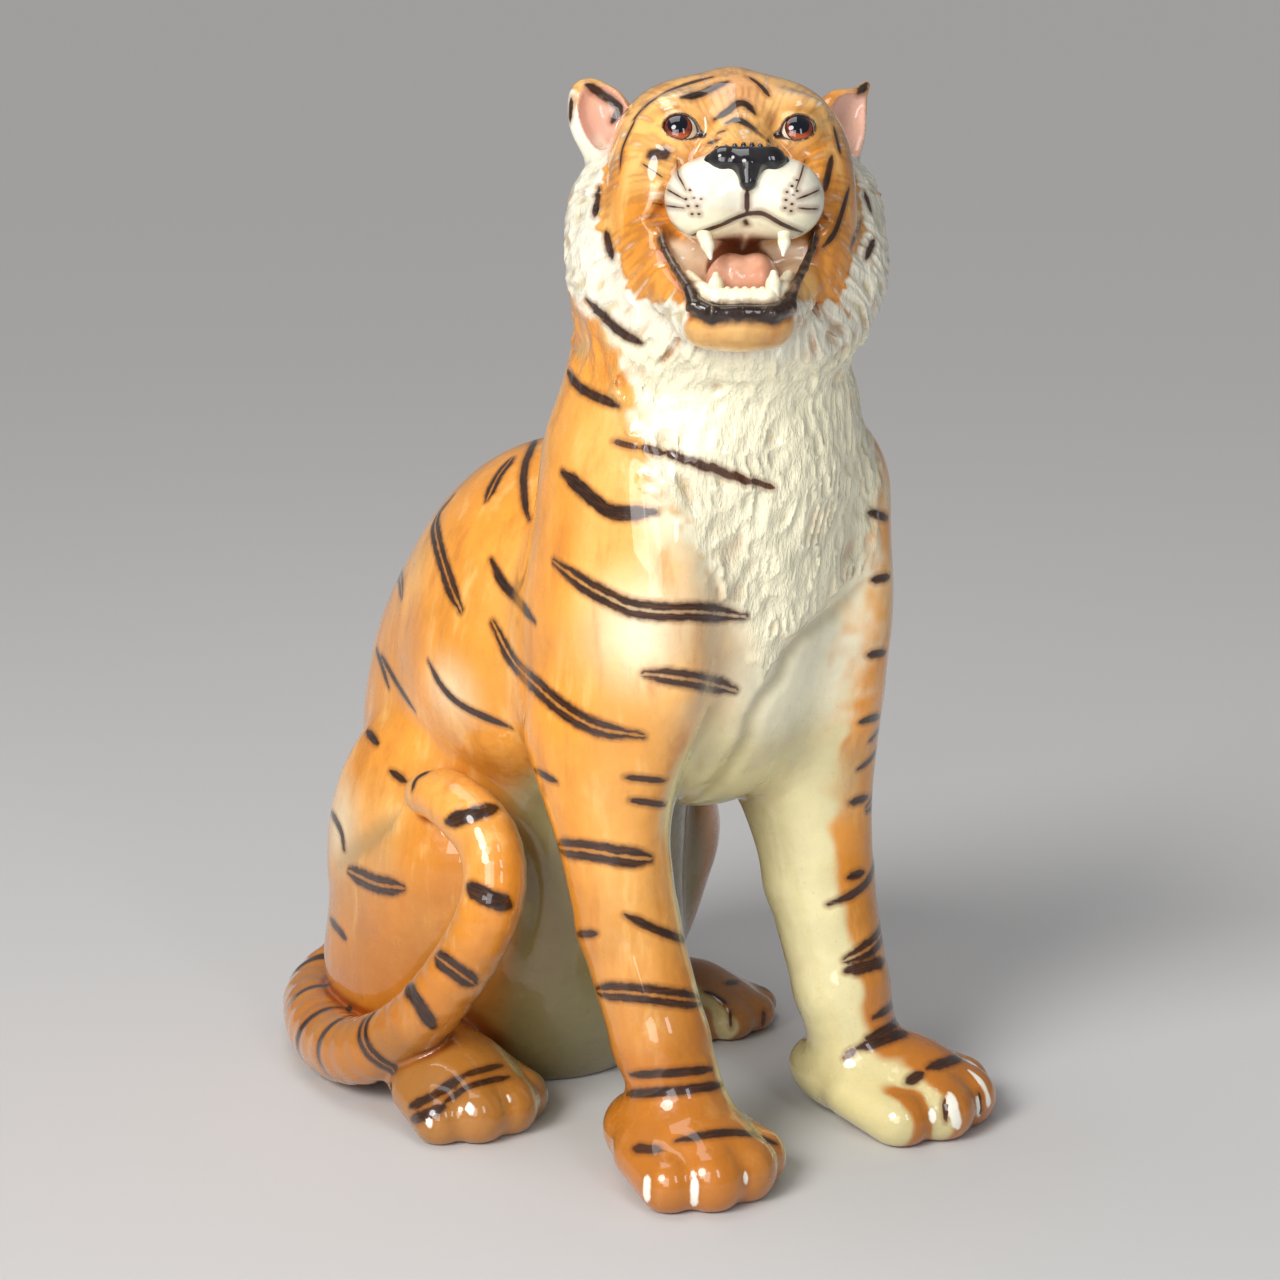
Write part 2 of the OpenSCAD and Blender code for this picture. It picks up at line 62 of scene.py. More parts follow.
def ball(p, centre, radii, rot=None):
    """Ellipsoid."""
    q = p - np.asarray(centre, F)
    if rot is not None:
        q = q @ rot
    r = np.broadcast_to(np.asarray(radii, F), (3,))
    a = q / r
    k0 = np.sqrt(np.einsum("ij,ij->i", a, a)) + F(1e-6)
    a = a / r
    k1 = np.sqrt(np.einsum("ij,ij->i", a, a)) + F(1e-9)
    return k0 * (k0 - F(1)) / k1


def limb(p, a, b, ra, rb):
    """Round cone from a to b."""
    a = np.asarray(a, F)
    ab = np.asarray(b, F) - a
    q = p - a
    h = np.clip((q @ ab) / F(ab @ ab), 0, 1)
    q = q - h[:, None] * ab
    return np.sqrt(np.einsum("ij,ij->i", q, q)) - (F(ra) + h * F(rb - ra))


def join(a, b, k):
    """Smooth union."""
    k = F(k)
    h = np.maximum(k - np.abs(a - b), 0) / k
    return np.minimum(a, b) - h * h * k * F(0.25)


def carve(a, b, k):
    """Smooth cut of b out of a."""
    return -join(-a, b, k)


def both(a, b, k):
    """Smooth intersection."""
    return -join(-a, -b, k)


def melt(parts, k):
    """Smooth union of several parts, one after the other."""
    parts = iter(parts)
    out = next(parts)
    for part in parts:
        out = join(out, part, k)
    return out


def chain(p, points, radii, k):
    """Round cones end to end."""
    return melt((limb(p, points[i], points[i + 1], radii[i], radii[i + 1]) for i in range(len(points) - 1)), k)


def near(p, part, low, high):
    """Distance to a part, worked out only inside its box."""
    m = ((p > np.asarray(low, F)) & (p < np.asarray(high, F))).all(1)
    out = np.full(len(p), FAR, F)
    if m.any():
        out[m] = part(p[m])
    return out


def smooth(edge0, edge1, x):
    """0 at edge0 and before it, rising to 1 at edge1."""
    t = np.clip((x - edge0) / (edge1 - edge0), 0, 1)
    return t * t * (3 - 2 * t)


LATTICE = np.random.RandomState(7).rand(4096).astype(F)
LATTICE_PRIMES = (1619, 31337, 6971)


def noise(p):
    """Value noise from 0 to 1 with a cell of one unit."""
    c = np.floor(p)
    t = (p - c).astype(F)
    t = t * t * (3 - 2 * t)
    c = c.astype(np.int64)
    out = np.zeros(len(p), F)
    for corner in np.ndindex(2, 2, 2):
        h = sum((c[:, i] + corner[i]) * LATTICE_PRIMES[i] for i in range(3))
        h = (h ^ (h >> 7)) & (len(LATTICE) - 1)
        wx, wy, wz = (t[:, i] if corner[i] else 1 - t[:, i] for i in range(3))
        out += LATTICE[h] * (wx * wy) * wz
    return out


# Body: lumps as middle, half sizes and turn

SEAT = ((0, 0, 80), (122, 126, 125))
RUMP = ((0, 6, 168), (110, 164, 174))
LOIN = ((0, -3, 305), (118, 149, 165), turn(pitch=12))
RIBS = ((0, -93, 394), (128, 152, 133), turn(pitch=32))
FLANK = ((92, -84, 352), (42, 80, 62))
CHEST = ((0, -222, 470), (124, 106, 172))
BIB = ((-4, -265, 550), (95, 69, 112))
BRISKET = ((4, -222, 342), (90, 72, 82))
SHOULDER_TOP = {RIGHT: ((-90, -224, 530), (42, 62, 62)), LEFT: ((106, -238, 508), (43, 60, 50))}
# What follows the seat, with how far it melts into the lumps before it
TRUNK = [(RUMP, 50), (LOIN, 60), (RIBS, 60), (CHEST, 44), (BIB, 40), (BRISKET, 40)]
NECK = ((-7, -226, 570), (-19, -240, 690), 101, 92)
SLAB_HALF = (87.9, 91.0)
SLAB_T = 10.2


def torso(p):
    d = ball(p, *SEAT)
    for lump, k in TRUNK:
        d = join(d, ball(p, *lump), k)
    d = join(d, ball(fold(p), *FLANK), 34)
    for side in (RIGHT, LEFT):
        d = join(d, ball(p, *SHOULDER_TOP[side]), 40)
    d = join(d, limb(p, *NECK), 40)
    slab = (np.hypot(p[:, 0] / F(SLAB_HALF[0]), p[:, 1] / F(SLAB_HALF[1])) - 1) * F(SLAB_HALF[0])
    return np.maximum(d, -np.maximum(slab, p[:, 2] - F(SLAB_T)))


# In shares of a paw's width: the pad's middle and half sizes, and each toe's x, y and radius
PAW_PAD = np.array([(0, 0.055, 0.27), (0.4, 0.56, 0.3)])
TOES = [(-0.34, -0.27, 0.19), (-0.123, -0.4, 0.215), (0.123, -0.4, 0.215), (0.34, -0.27, 0.19)]


def toe(q, w, x, y, r):
    tip, root = np.array([(x, y - 0.02, 0.82 * r), (x * 0.9, y + 0.3, r + 0.05)]) * w
    return limb(q, tip, root, r * w, 0.9 * r * w)


def paw(p, at, width, splay, flat):
    """A paw turned out by splay and pressed flat, with four toes."""
    q = (p - np.asarray(at, F)) @ turn(yaw=splay) / np.array([1, 1, flat], F)
    toes = melt((toe(q, width, *t) for t in TOES), 7)
    return join(ball(q, *(PAW_PAD * width)), toes, 10) * F(flat)


FORELEG = {
    LEFT: [(95, -229, 330), (92, -259, 190), (92, -287, 105), (95, -300, 60)],
    RIGHT: [(-109, -222, 330), (-104, -253, 190), (-100, -286, 105), (-97, -305, 62)],
}
FORELEG_R = {LEFT: [58, 44, 38, 35], RIGHT: [46, 39, 37, 35]}
UPPER_ARM = {
    LEFT: ((92, -230, 400), (54, 92, 160), turn(pitch=8)),
    RIGHT: ((-96, -230, 412), (54, 92, 148), turn(pitch=8)),
}
# Thigh, hock and shank have x away from the middle
THIGH = ((92, 4, 170), (62, 118, 148), turn(yaw=-4, pitch=6))
HOCK = ((102, 40, 74), (50, 84, 66))
SHANK = {LEFT: ((103, -48, 186), (98, 26, 62), 50, 30), RIGHT: ((102, -40, 190), (104, 14, 62), 50, 38)}
# Paws: place, width, splay and how flat
FOREPAW = {LEFT: ((113, -318, 0), 137, 15, 0.88), RIGHT: ((-102, -315, 0), 123, -3, 1.0)}
HINDPAW = {LEFT: ((145, -56, 0), 110, 8, 0.74), RIGHT: ((-152, -98, 0), 116, -2, 1.0)}


def foreleg(p, side):
    d = join(ball(p, *UPPER_ARM[side]), chain(p, FORELEG[side], FORELEG_R[side], 6), 40)
    return join(d, paw(p, *FOREPAW[side]), 16)


def haunch(p, side):
    q = p * np.array([side, 1, 1], F)
    d = join(ball(q, *THIGH), ball(q, *HOCK), 30)
    return join(d, limb(q, *SHANK[side]), 36)


def hind_foot(p, side):
    (x, y, _), _, _, flat = HINDPAW[side]
    heel = limb(p, (x - side * 16, y + 62, 37 * flat), (x, y + 6, 33 * flat), 32 * flat, 34 * flat)
    return join(heel, paw(p, *HINDPAW[side]), 20)


TAIL = [(0, 145, 62), (-48, 168, 42), (-104, 155, 28), (-150, 93, 28), (-175, 34, 30), (-186, -22, 43),
        (-182, -72, 72), (-174, -112, 114), (-162, -142, 164), (-150, -148, 206), (-144, -131, 238),
        (-146, -98, 257), (-146, -73, 261), (-146, -56, 258)]
TAIL_R = [31, 30, 28.5, 28, 28, 27.5, 26, 25, 24.5, 24.5, 24.5, 23.5, 20.5, 17.5]


def curve(points, per=3):
    """Catmull-Rom points through the given ones, in any number of columns."""
    c = np.asarray(points, float)
    c = np.concatenate([2 * c[:1] - c[1:2], c, 2 * c[-1:] - c[-2:-1]])
    out = []
    for i in range(1, len(c) - 2):
        for t in np.arange(per) / per:
            out.append(0.5 * (2 * c[i] + (c[i + 1] - c[i - 1]) * t
                              + (2 * c[i - 1] - 5 * c[i] + 4 * c[i + 1] - c[i + 2]) * t * t
                              + (3 * c[i] - c[i - 1] - 3 * c[i + 1] + c[i + 2]) * t ** 3))
    return np.array(out + [c[-2]])


TAIL_PATH = curve(np.column_stack([TAIL, TAIL_R]))


def tail(p):
    return chain(p, TAIL_PATH[:, :3], TAIL_PATH[:, 3], 2)


# Each piece's shape, the box that it lies in, and how far it melts into the pieces before it
BODY_PARTS = {
    "torso_shell": (torso, (-220, -420, -60), (220, 260, 780), 0),
    "right_haunch": (lambda p: haunch(p, RIGHT), (-210, -190, -50), (20, 180, 380), 9),
    "left_haunch": (lambda p: haunch(p, LEFT), (-20, -190, -50), (210, 180, 380), 9),
    "right_foreleg": (lambda p: foreleg(p, RIGHT), (-240, -470, -50), (20, -60, 620), 26),
    "left_foreleg": (lambda p: foreleg(p, LEFT), (-20, -470, -50), (260, -60, 620), 26),
    "right_hind_foot": (lambda p: hind_foot(p, RIGHT), (-270, -240, -50), (-30, 60, 160), 12),
    "left_hind_foot": (lambda p: hind_foot(p, LEFT), (30, -200, -50), (270, 100, 160), 12),
    "tail": (tail, (-270, -230, -50), (60, 270, 370), 5),
}


# Folds pressed into the clay: line, half width, depth
BRISKET_FOLD = [(78, -322, 442), (54, -316, 420), (17, -320, 410), (0, -317, 394), (-3, -313, 378), (-16, -309, 363),
                (-23, -303, 346), (-22, -298, 330), (-28, -288, 311), (-32, -270, 288), (-30, -248, 270)]
ARM_FOLD = [(-43, -306, 375), (-58, -302, 355), (-66, -295, 330), (-73, -282, 300)]
THIGH_FOLD = [(-146, -24, 241), (-152, -10, 224), (-153, 16, 203), (-152, 47, 183), (-146, 72, 167)]
FOLDS = [(BRISKET_FOLD, 7, 4.5), (ARM_FOLD, 7, 3.5), (THIGH_FOLD, 9, 4.0),
         ([(-x, y, z) for x, y, z in THIGH_FOLD], 9, 4.0)]


def pressed(p):
    """How deep the folds are pressed in millimetres, and where they are, from 0 to 1."""
    sunk, share = np.zeros((2, len(p)), F)
    for line, half, depth in FOLDS:
        line = np.asarray(line, F)
        m = ((p > line.min(0) - 3 * half) & (p < line.max(0) + 3 * half)).all(1)
        if m.any():
            ends = [-half] + [0] * (len(line) - 2) + [-half]
            here = np.exp(-(np.maximum(chain(p[m], line, ends, 1), 0) / half) ** 2)
            sunk[m] = np.maximum(sunk[m], here * depth)
            share[m] = np.maximum(share[m], here)
    return sunk, share


def body(p):
    d = None
    for part, low, high, k in BODY_PARTS.values():
        dist = near(p, part, low, high)
        d = dist if d is None else join(d, dist, k)
    return d + pressed(p)[0]


# Head, in its own frame: x to its left, y back, z up, origin at the skull's middle

HEAD_AT = np.array([-14.0, -264.0, 741.0], F)
HEAD_TURN = turn(yaw=-36.0, pitch=-27.0, roll=0.7)
HEAD_BOX = ((-190, -430, 540), (190, -100, 870))


def to_head(p):
    return (p - HEAD_AT) @ HEAD_TURN


def from_head(q):
    return np.asarray(q, F) @ HEAD_TURN.T + HEAD_AT


def fold(q):
    f = q.copy()
    f[:, 0] = np.abs(f[:, 0])
    return f


# The ruff beside the cheeks, on each side
RUFF = [((84, 26, -20), (34, 42, 58)), ((74, 18, -66), (39, 46, 48))]


def skull(q, f):
    """Skull, face and ruff. Lumps given in f are on both sides."""
    d = ball(q, (0, 20, 25), (80, 88, 58.5))
    d = join(d, ball(f, (44, 4, 41), (35, 54, 37)), 20)  # temples
    d = join(d, ball(q, (0, -30, 30), (56, 48, 44)), 24)  # forehead
    d = join(d, limb(q, (0, -34, 62), (0, 34, 80), 14, 12), 16)  # crest
    d = join(d, ball(f, (54, -22, -10), (36, 50, 54)), 30)  # cheekbones
    d = join(d, ball(f, (54, -4, -56), (34, 50, 50)), 26)  # cheeks
    d = join(d, limb(q, (0, -52, 14), (0, -98, -28), 28, 24), 18)  # bridge of the nose
    d = join(d, ball(f, (41, -60, 39), (25, 17, 10), turn(roll=6)), 10)  # brows
    ruff = melt((ball(f, *lump) for lump in RUFF), 25)
    ruff = join(ruff, ball(f, (41, 12, -106), (42, 42, 33)), 25)
    ruff = join(ruff, ball(q, (0, 4, -122), (60, 55, 34)), 25)  # beard
    return join(d, ruff, 9)


# An ear is a leaf with a point and a cup in its face: place, turn, half sizes
EARS = {
    RIGHT: ((-89, 24, 60), turn(yaw=10, roll=-24), (26, 15, 37)),
    LEFT: ((88, 28, 60), turn(yaw=40, roll=24), (25, 14, 35)),
}
EAR_TIP = {RIGHT: ((0, 0, 16), (-2, 1, 27), 17, 11), LEFT: ((0, 0, 10), (7.5, -6, 49), 15, 3.5)}


def ear(q, side):
    at, rot, half = EARS[side]
    e = (q - np.asarray(at, F)) @ rot
    d = ball(e, (0, 0, 0), half)
    d = join(d, limb(e, *EAR_TIP[side]), 10)
    d = join(d, ball(q, (side * 72, 30, 34), (28, 20, 26)), 14)
    return carve(d, ear_cup(e, side), 3)


def ear_cup(e, side):
    half = EARS[side][2]
    d = ball(e, (0, -16, 0), (half[0] - 4.5, 18, half[2] - 5))
    return join(d, limb(e, (0, -16, 14), (6, -17, 36), 12, 6), 6) if side == LEFT else d


# The lips' outline on each side as x, z, then the lower lip and the gum behind it
MOUTH = [(0, -130), (22, -130), (33, -122), (38, -105), (46, -88), (53, -70), (56.5, -52), (46, -38), (0, -38)]
LIP = [(0, -94, -130), (21, -92, -130), (33, -87, -122), (38, -80, -105), (46, -71, -88), (53, -62, -70),
       (56.5, -54, -52)]
LIP_R = [5.6, 5.6, 5, 3.8, 3.2, 2.8, 2.4]
GUM = [(0, -88, -117), (17, -86, -116), (28, -78, -108), (36, -64, -92)]
GUM_R = [7, 7, 6.5, 5]


def outline_distance(x, z, corners):
    """Signed distance in the x, z plane to a closed outline."""
    c = np.asarray(corners, F)
    e = np.roll(c, -1, 0) - c
    best = np.full(len(x), 1e9, F)
    inside = np.zeros(len(x), bool)
    for (cx, cz), (ex, ez) in zip(c, e):
        dx, dz = x - cx, z - cz
        t = np.clip((dx * ex + dz * ez) / (ex * ex + ez * ez), 0, 1)
        best = np.minimum(best, (dx - t * ex) ** 2 + (dz - t * ez) ** 2)
        if ez:
            inside ^= ((cz <= z) != (cz + ez <= z)) & (dx < ex * dz / ez)
    return np.where(inside, -1, 1) * np.sqrt(best)


def to_mouth(q):
    """The mouth hangs a little to the right, more so at the chin."""
    m = q.copy()
    m[:, 0] += F(1.5) + F(0.041) * np.clip(-52 - q[:, 2], 0, 90)
    return m


def lips(q):
    """Distance to the lips' outline from the front, negative inside it, and the depth behind the lips."""
    half = np.array(MOUTH)
    ring = np.concatenate([half, half[-2:0:-1] * (-1, 1)])
    return outline_distance(q[:, 0], q[:, 2], ring), q[:, 1] - (F(-94) + F(0.5) * (q[:, 2] + 130))


def mouth(q):
    """A funnel behind the lips and the throat behind it."""
    around, depth = lips(q)
    return join((around + F(1.7) * np.maximum(depth, -6)) * F(0.5), throat(q), 6)


def throat(q):
    t = q.copy()
    t[:, 0] = np.abs(q[:, 0] - 3.5)
    return limb(t, (11, -104, -83), (9, -8, -76), 15.5, 14)


def jaw(q):
    f = fold(q)
    d = join(chin(q), ball(q, (0, -36, -119), (42, 50, 18)), 14)
    d = join(d, limb(f, (24, -66, -126), (46, -36, -88), 14, 18), 14)
    d = carve(d, mouth(q), 4)
    d = join(d, gum(f), 5)
    return join(d, lip(f), 5)


def chin(q):
    return ball(q, (0, -73, -134), (36, 23, 16))


def lip(f):
    return chain(f, LIP, LIP_R, 2)


def gum(f):
    return chain(f, GUM, GUM_R, 2)


# The left eye's middle and radius
EYE = np.array([42.0, -62.0, 16.5], F)
EYE_R = 17.5


def eye_hole(f):
    d = ball(f, EYE + np.array([1, -20, 0.5], F), (12.5, 15, 9.4), turn(roll=-12))
    return join(d, limb(f, EYE + np.array([-6, -18, -3], F), EYE + np.array([-15, -16, -5.5], F), 5, 1.5), 4)


# Whisker pad
PAD = ((26.5, -90, -43), (30.5, 30, 29), turn(roll=16))


def head_parts(p):
    """Distances to the head's own pieces."""
    q = to_head(p)
    f = fold(q)
    m = to_mouth(q)
    d = skull(q, f)
    d = carve(d, mouth(m), 4)
    d = join(d, ball(q, (0, -76, -37), (42, 43, 31)), 10)  # muzzle
    d = join(d, ball(f, *PAD), 9)
    d = carve(d, limb(q, (0, -128, -52), (0, -120, -80), 2.5, 7), 5)  # cleft under the nose
    d = carve(d, ball(f, (47, -88, 15), (25, 16, 15), turn(roll=-10)), 10)  # eye sockets
    d = join(d, ball(f, EYE, (20, 19.5, 19)), 6)  # lids
    d = carve(d, eye_hole(f), 1.5)
    return {"head_shell": d, "lower_jaw": jaw(m), "right_ear": ear(q, RIGHT), "left_ear": ear(q, LEFT)}


def head(p):
    parts = head_parts(p)
    d = join(parts["head_shell"], parts["lower_jaw"], 4)
    return join(d, np.minimum(parts["right_ear"], parts["left_ear"]), 7)


# Fur is pressed into the bib and the ruff as short strands

BIB_AXIS_Y = -215.0
# Degrees round the chest to each side at each height: of the pale paint, and of the pressed fur, which ends in a point
PALE = ([250, 340, 368, 404, 430, 466, 485, 510, 595, 700],
        [18, 29, 31, 28, 33, 42, 46, 51, 64, 80], [34, 38, 37, 36, 36, 38, 40, 44, 61, 80])
FURRY = ([360, 410, 435, 450, 500, 540, 600, 700],
         [5, 24, 30, 35, 43, 58, 72, 84], [-18, -1, 21, 36, 43, 51, 66, 84])


def bib_edge(p, limits):
    """Degrees inside the edge of the bib, seen from above round the chest."""
    x, y, z = p.T
    around = np.degrees(np.arctan2(x, -(y - BIB_AXIS_Y)))
    heights, right, left = limits
    return np.minimum(around + np.interp(z, heights, right), np.interp(z, heights, left) - around).astype(F)


def ruff_share(q, f):
    """0 on the face to 1 on the ruff, in the head's frame."""
    face = np.minimum(ball(q, (0, 14, 26), (84, 88, 62)), ball(f, (55, -20, -20), (38, 52, 58)))
    face = np.minimum(face, ball(f, (52, -10, -60), (30, 52, 44)))
    ruff = np.minimum(*(ball(f, *lump) for lump in RUFF))
    ruff = np.minimum(ruff, ball(f, (42, 8, -111), (48, 46, 36)))
    return smooth(-5, 5, face - ruff)


RUFF_HUB_Z = -30


def ruff_spokes(q, f):
    """Angle and distance from the middle of the ruff, in the head's frame."""
    return np.arctan2(q[:, 2] - RUFF_HUB_Z, f[:, 0]), np.hypot(f[:, 0], q[:, 2] - RUFF_HUB_Z)


def may_be_furry(p, lowest=330):
    """The bib and the ruff lie within these limits."""
    return (p[:, 2] > lowest) & (p[:, 1] < -120)


def fur(p):
    """How deep the fur is sunk in millimetres, and where there is fur, from 0 to 1."""
    out = np.zeros(len(p), F)
    bib = smooth(-3, 5, bib_edge(p, FURRY) + (noise(p / 11) - 0.5) * 8) * smooth(-225, -250, p[:, 1])
    bib *= smooth(10, -12, above_neck(p))
    m = bib > 0.02
    if m.any():
        x, y, z = p[m].T
        sway = noise(p[m] / 40) * 22
        strand = noise(np.stack([(x + sway) / 8, y / 14, (z + 0.7 * sway) / 17], 1))
        lock = noise(np.stack([(x - sway) / 17, y / 30, (z + sway) / 32], 1))
        tuft = np.abs(2 * strand - 1)
        out[m] += ((tuft - 0.5) * 3.2 + (lock - 0.5) * 3.6 - 1.2) * bib[m]
    m = may_be_furry(p, 560)
    if m.any():
        q = to_head(p[m])
        f = fold(q)
        share = ruff_share(q, f) * smooth(2, 9, chin(to_mouth(q))) * smooth(40, 10, q[:, 2])
        share = share * smooth(95, 60, q[:, 1]) * smooth(575, 620, p[m, 2])
        swirl = noise(q / 38) * 0.7
        spoke, far = ruff_spokes(q, f)
        spoke = spoke + 0.3 * swirl
        strand = noise(np.stack([spoke * 13, far / 24 + swirl, q[:, 1] / 16], 1))
        fine = noise(np.stack([spoke * 27, far / 15 - swirl, q[:, 1] / 11], 1))
        out[m] += ((np.abs(2 * strand - 1) - 0.5) * 3.6 + (fine - 0.5) * 1.8) * share
        bib[m] = np.maximum(bib[m], share)
    return out, bib


def tiger(p):
    """The whole skin, standing on the floor."""
    d = join(body(p), near(p, head, *HEAD_BOX), 20)
    m = (np.abs(d) < 14) & may_be_furry(p)
    if m.any():
        d[m] += fur(p[m])[0]
    return both(d, -p[:, 2], 4)


# Skin of the clay

def evaluate(field, pts, chunk=300000):
    out = np.empty(len(pts), F)
    for i in range(0, len(pts), chunk):
        out[i:i + chunk] = field(pts[i:i + chunk])
    return out


BLOCK = 6  # grid cells along a block
BAND = 1.45  # blocks are worked out where the surface may be this many blocks away


def sample(field, low, step, n):
    """The field on a grid of n cells, exact only in the blocks near the zero surface."""
    blocks = n // BLOCK
    val = np.empty(n + 1, F)
    middles = [low[i] + (np.arange(blocks[i]) + 0.5) * BLOCK * step for i in range(3)]
    grid = np.stack(np.meshgrid(*middles, indexing="ij"), -1)
    coarse = evaluate(field, grid.reshape(-1, 3).astype(F)).reshape(blocks)
    val[:-1, :-1, :-1] = np.repeat(np.repeat(np.repeat(coarse, BLOCK, 0), BLOCK, 1), BLOCK, 2)
    val[-1] = val[-2]
    val[:, -1] = val[:, -2]
    val[:, :, -1] = val[:, :, -2]
    close = np.argwhere(np.abs(coarse) < BLOCK * step * BAND)
    in_block = np.array(list(np.ndindex(BLOCK + 1, BLOCK + 1, BLOCK + 1)))
    idx = (close[:, None, :] * BLOCK + in_block[None]).reshape(-1, 3)
    flat = np.unique(np.ravel_multi_index(idx.T, val.shape))
    ijk = np.stack(np.unravel_index(flat, val.shape), -1)
    val.reshape(-1)[flat] = evaluate(field, (low + ijk * step).astype(F))
    return val


def cell_points(val, cells):
    """The mean of the places where the surface crosses each cell's edges, in grid cells."""
    total = np.zeros((len(cells), 3))
    count = np.zeros(len(cells))
    corners = {d: val[tuple((cells + d).T)] for d in np.ndindex(2, 2, 2)}
    for axis in range(3):
        for d in np.ndindex(2, 2, 2):
            if d[axis]:
                continue
            e = list(d)
            e[axis] = 1
            va, vb = corners[d], corners[tuple(e)]
            cross = (va < 0) != (vb < 0)
            place_on_edge = np.tile(np.array(d, float), (len(cells), 1))
            place_on_edge[:, axis] += np.where(cross, va / np.where(cross, va - vb, 1), 0)
            total[cross] += place_on_edge[cross]
            count[cross] += 1
    return cells + total / count[:, None]


def cell_quads(inside, number):
    """Quads round the grid edges that the surface crosses, facing outwards."""
    quads = []
    unit = np.eye(3, dtype=int)
    for axis in range(3):
        du, dv = unit[(axis + 1) % 3], unit[(axis + 2) % 3]
        low, high = [slice(1, -1)] * 3, [slice(1, -1)] * 3
        low[axis], high[axis] = slice(0, -1), slice(1, None)
        a, b = inside[tuple(low)], inside[tuple(high)]
        for leaving in (True, False):
            e = np.argwhere(a & ~b if leaving else ~a & b) + du + dv
            ring = [e - du - dv, e - dv, e, e - du]
            quads.append(np.stack([number[tuple(r.T)] for r in (ring if leaving else ring[::-1])], 1))
    quads = np.concatenate(quads)
    return quads[(quads >= 0).all(1)]


def skin(field, low, high, step):
    """Points and quads of the zero surface of field in the box, by surface nets on a narrow band."""
    low = np.asarray(low, float)
    n = np.ceil((np.asarray(high) - low) / step / BLOCK).astype(int) * BLOCK
    val = sample(field, low, step, n)
    inside = val < 0
    corners_in = np.zeros(n, np.int8)
    for d in np.ndindex(2, 2, 2):
        corners_in += inside[d[0]:d[0] + n[0], d[1]:d[1] + n[1], d[2]:d[2] + n[2]]
    cells = np.argwhere((corners_in > 0) & (corners_in < 8))
    number = np.full(n, -1, np.int64)
    number[tuple(cells.T)] = np.arange(len(cells))
    verts = low + cell_points(val, cells) * step
    return verts.astype(F), cell_quads(inside, number)


def slope(field, pts, eps=0.5):
    """Gradient of the field."""
    g = np.empty((len(pts), 3), F)
    for i in range(3):
        d = np.zeros(3, F)
        d[i] = eps
        g[:, i] = evaluate(field, pts + d) - evaluate(field, pts - d)
    return g / F(2 * eps)


def settle(field, pts, limit=1.0):
    """Moves the points onto the zero surface."""
    g = slope(field, pts)
    s = evaluate(field, pts) / np.maximum((g * g).sum(1), 0.15)
    return pts - g * np.clip(s, -limit, limit)[:, None]


def normals(field, pts):
    g = slope(field, pts)
    return g / (np.linalg.norm(g, axis=1, keepdims=True) + F(1e-9))


# The neck plane parts the head from the torso
NECK_CUT_AT = np.array([0.0, -250.0, 663.0], F)
NECK_CUT_N = turn(yaw=-18.0, pitch=16.0) @ np.array([0, 0, 1], F)


def above_neck(p):
    return (p - NECK_CUT_AT) @ NECK_CUT_N


# Meshes: triangles in numpy, clipped along exact lines so that neighbouring pieces share their seams

def triangles(verts, quads):
    """Splits quads along their shorter diagonal."""
    a, b, c, d = quads.T
    short = np.linalg.norm(verts[a] - verts[c], axis=1) < np.linalg.norm(verts[b] - verts[d], axis=1)
    one = np.where(short[:, None], np.stack([a, b, c], 1), np.stack([a, b, d], 1))
    two = np.where(short[:, None], np.stack([a, c, d], 1), np.stack([b, c, d], 1))
    return np.concatenate([one, two])


def clip(verts, tris, value, margin=0.12):
    """Cuts the triangles where value changes sign. Returns points, triangles and the side of each."""
    neg = value < 0
    count = neg[tris].sum(1)
    pure = (count == 0) | (count == 3)
    out = [tris[pure]]
    side = [np.where(count[pure] == 3, -1, 1)]
    mixed = tris[~pure]
    lone_neg = count[~pure] == 1
    flag = neg[mixed] == lone_neg[:, None]
    shift = flag.argmax(1)
    rows = np.arange(len(mixed))
    a = mixed[rows, shift]
    b = mixed[rows, (shift + 1) % 3]
    c = mixed[rows, (shift + 2) % 3]
    edges = np.sort(np.concatenate([np.stack([a, b], 1), np.stack([a, c], 1)]), 1)
    uniq, inverse = np.unique(edges, axis=0, return_inverse=True)
    inverse = inverse.reshape(-1)
    va, vb = value[uniq[:, 0]], value[uniq[:, 1]]
    t = np.clip(va / (va - vb), margin, 1 - margin)[:, None]
    fresh = verts[uniq[:, 0]] * (1 - t) + verts[uniq[:, 1]] * t
    ab = inverse[:len(mixed)] + len(verts)
    ac = inverse[len(mixed):] + len(verts)
    lone = np.where(lone_neg, -1, 1)
    out += [np.stack([a, ab, ac], 1), np.stack([ab, b, c], 1), np.stack([ab, c, ac], 1)]
    side += [lone, -lone, -lone]
    return np.concatenate([verts, fresh.astype(F)]), np.concatenate(out), np.concatenate(side)


def used(verts, tris):
    """Drops the points that no triangle uses."""
    keep, inverse = np.unique(tris, return_inverse=True)
    return verts[keep], inverse.reshape(tris.shape), keep


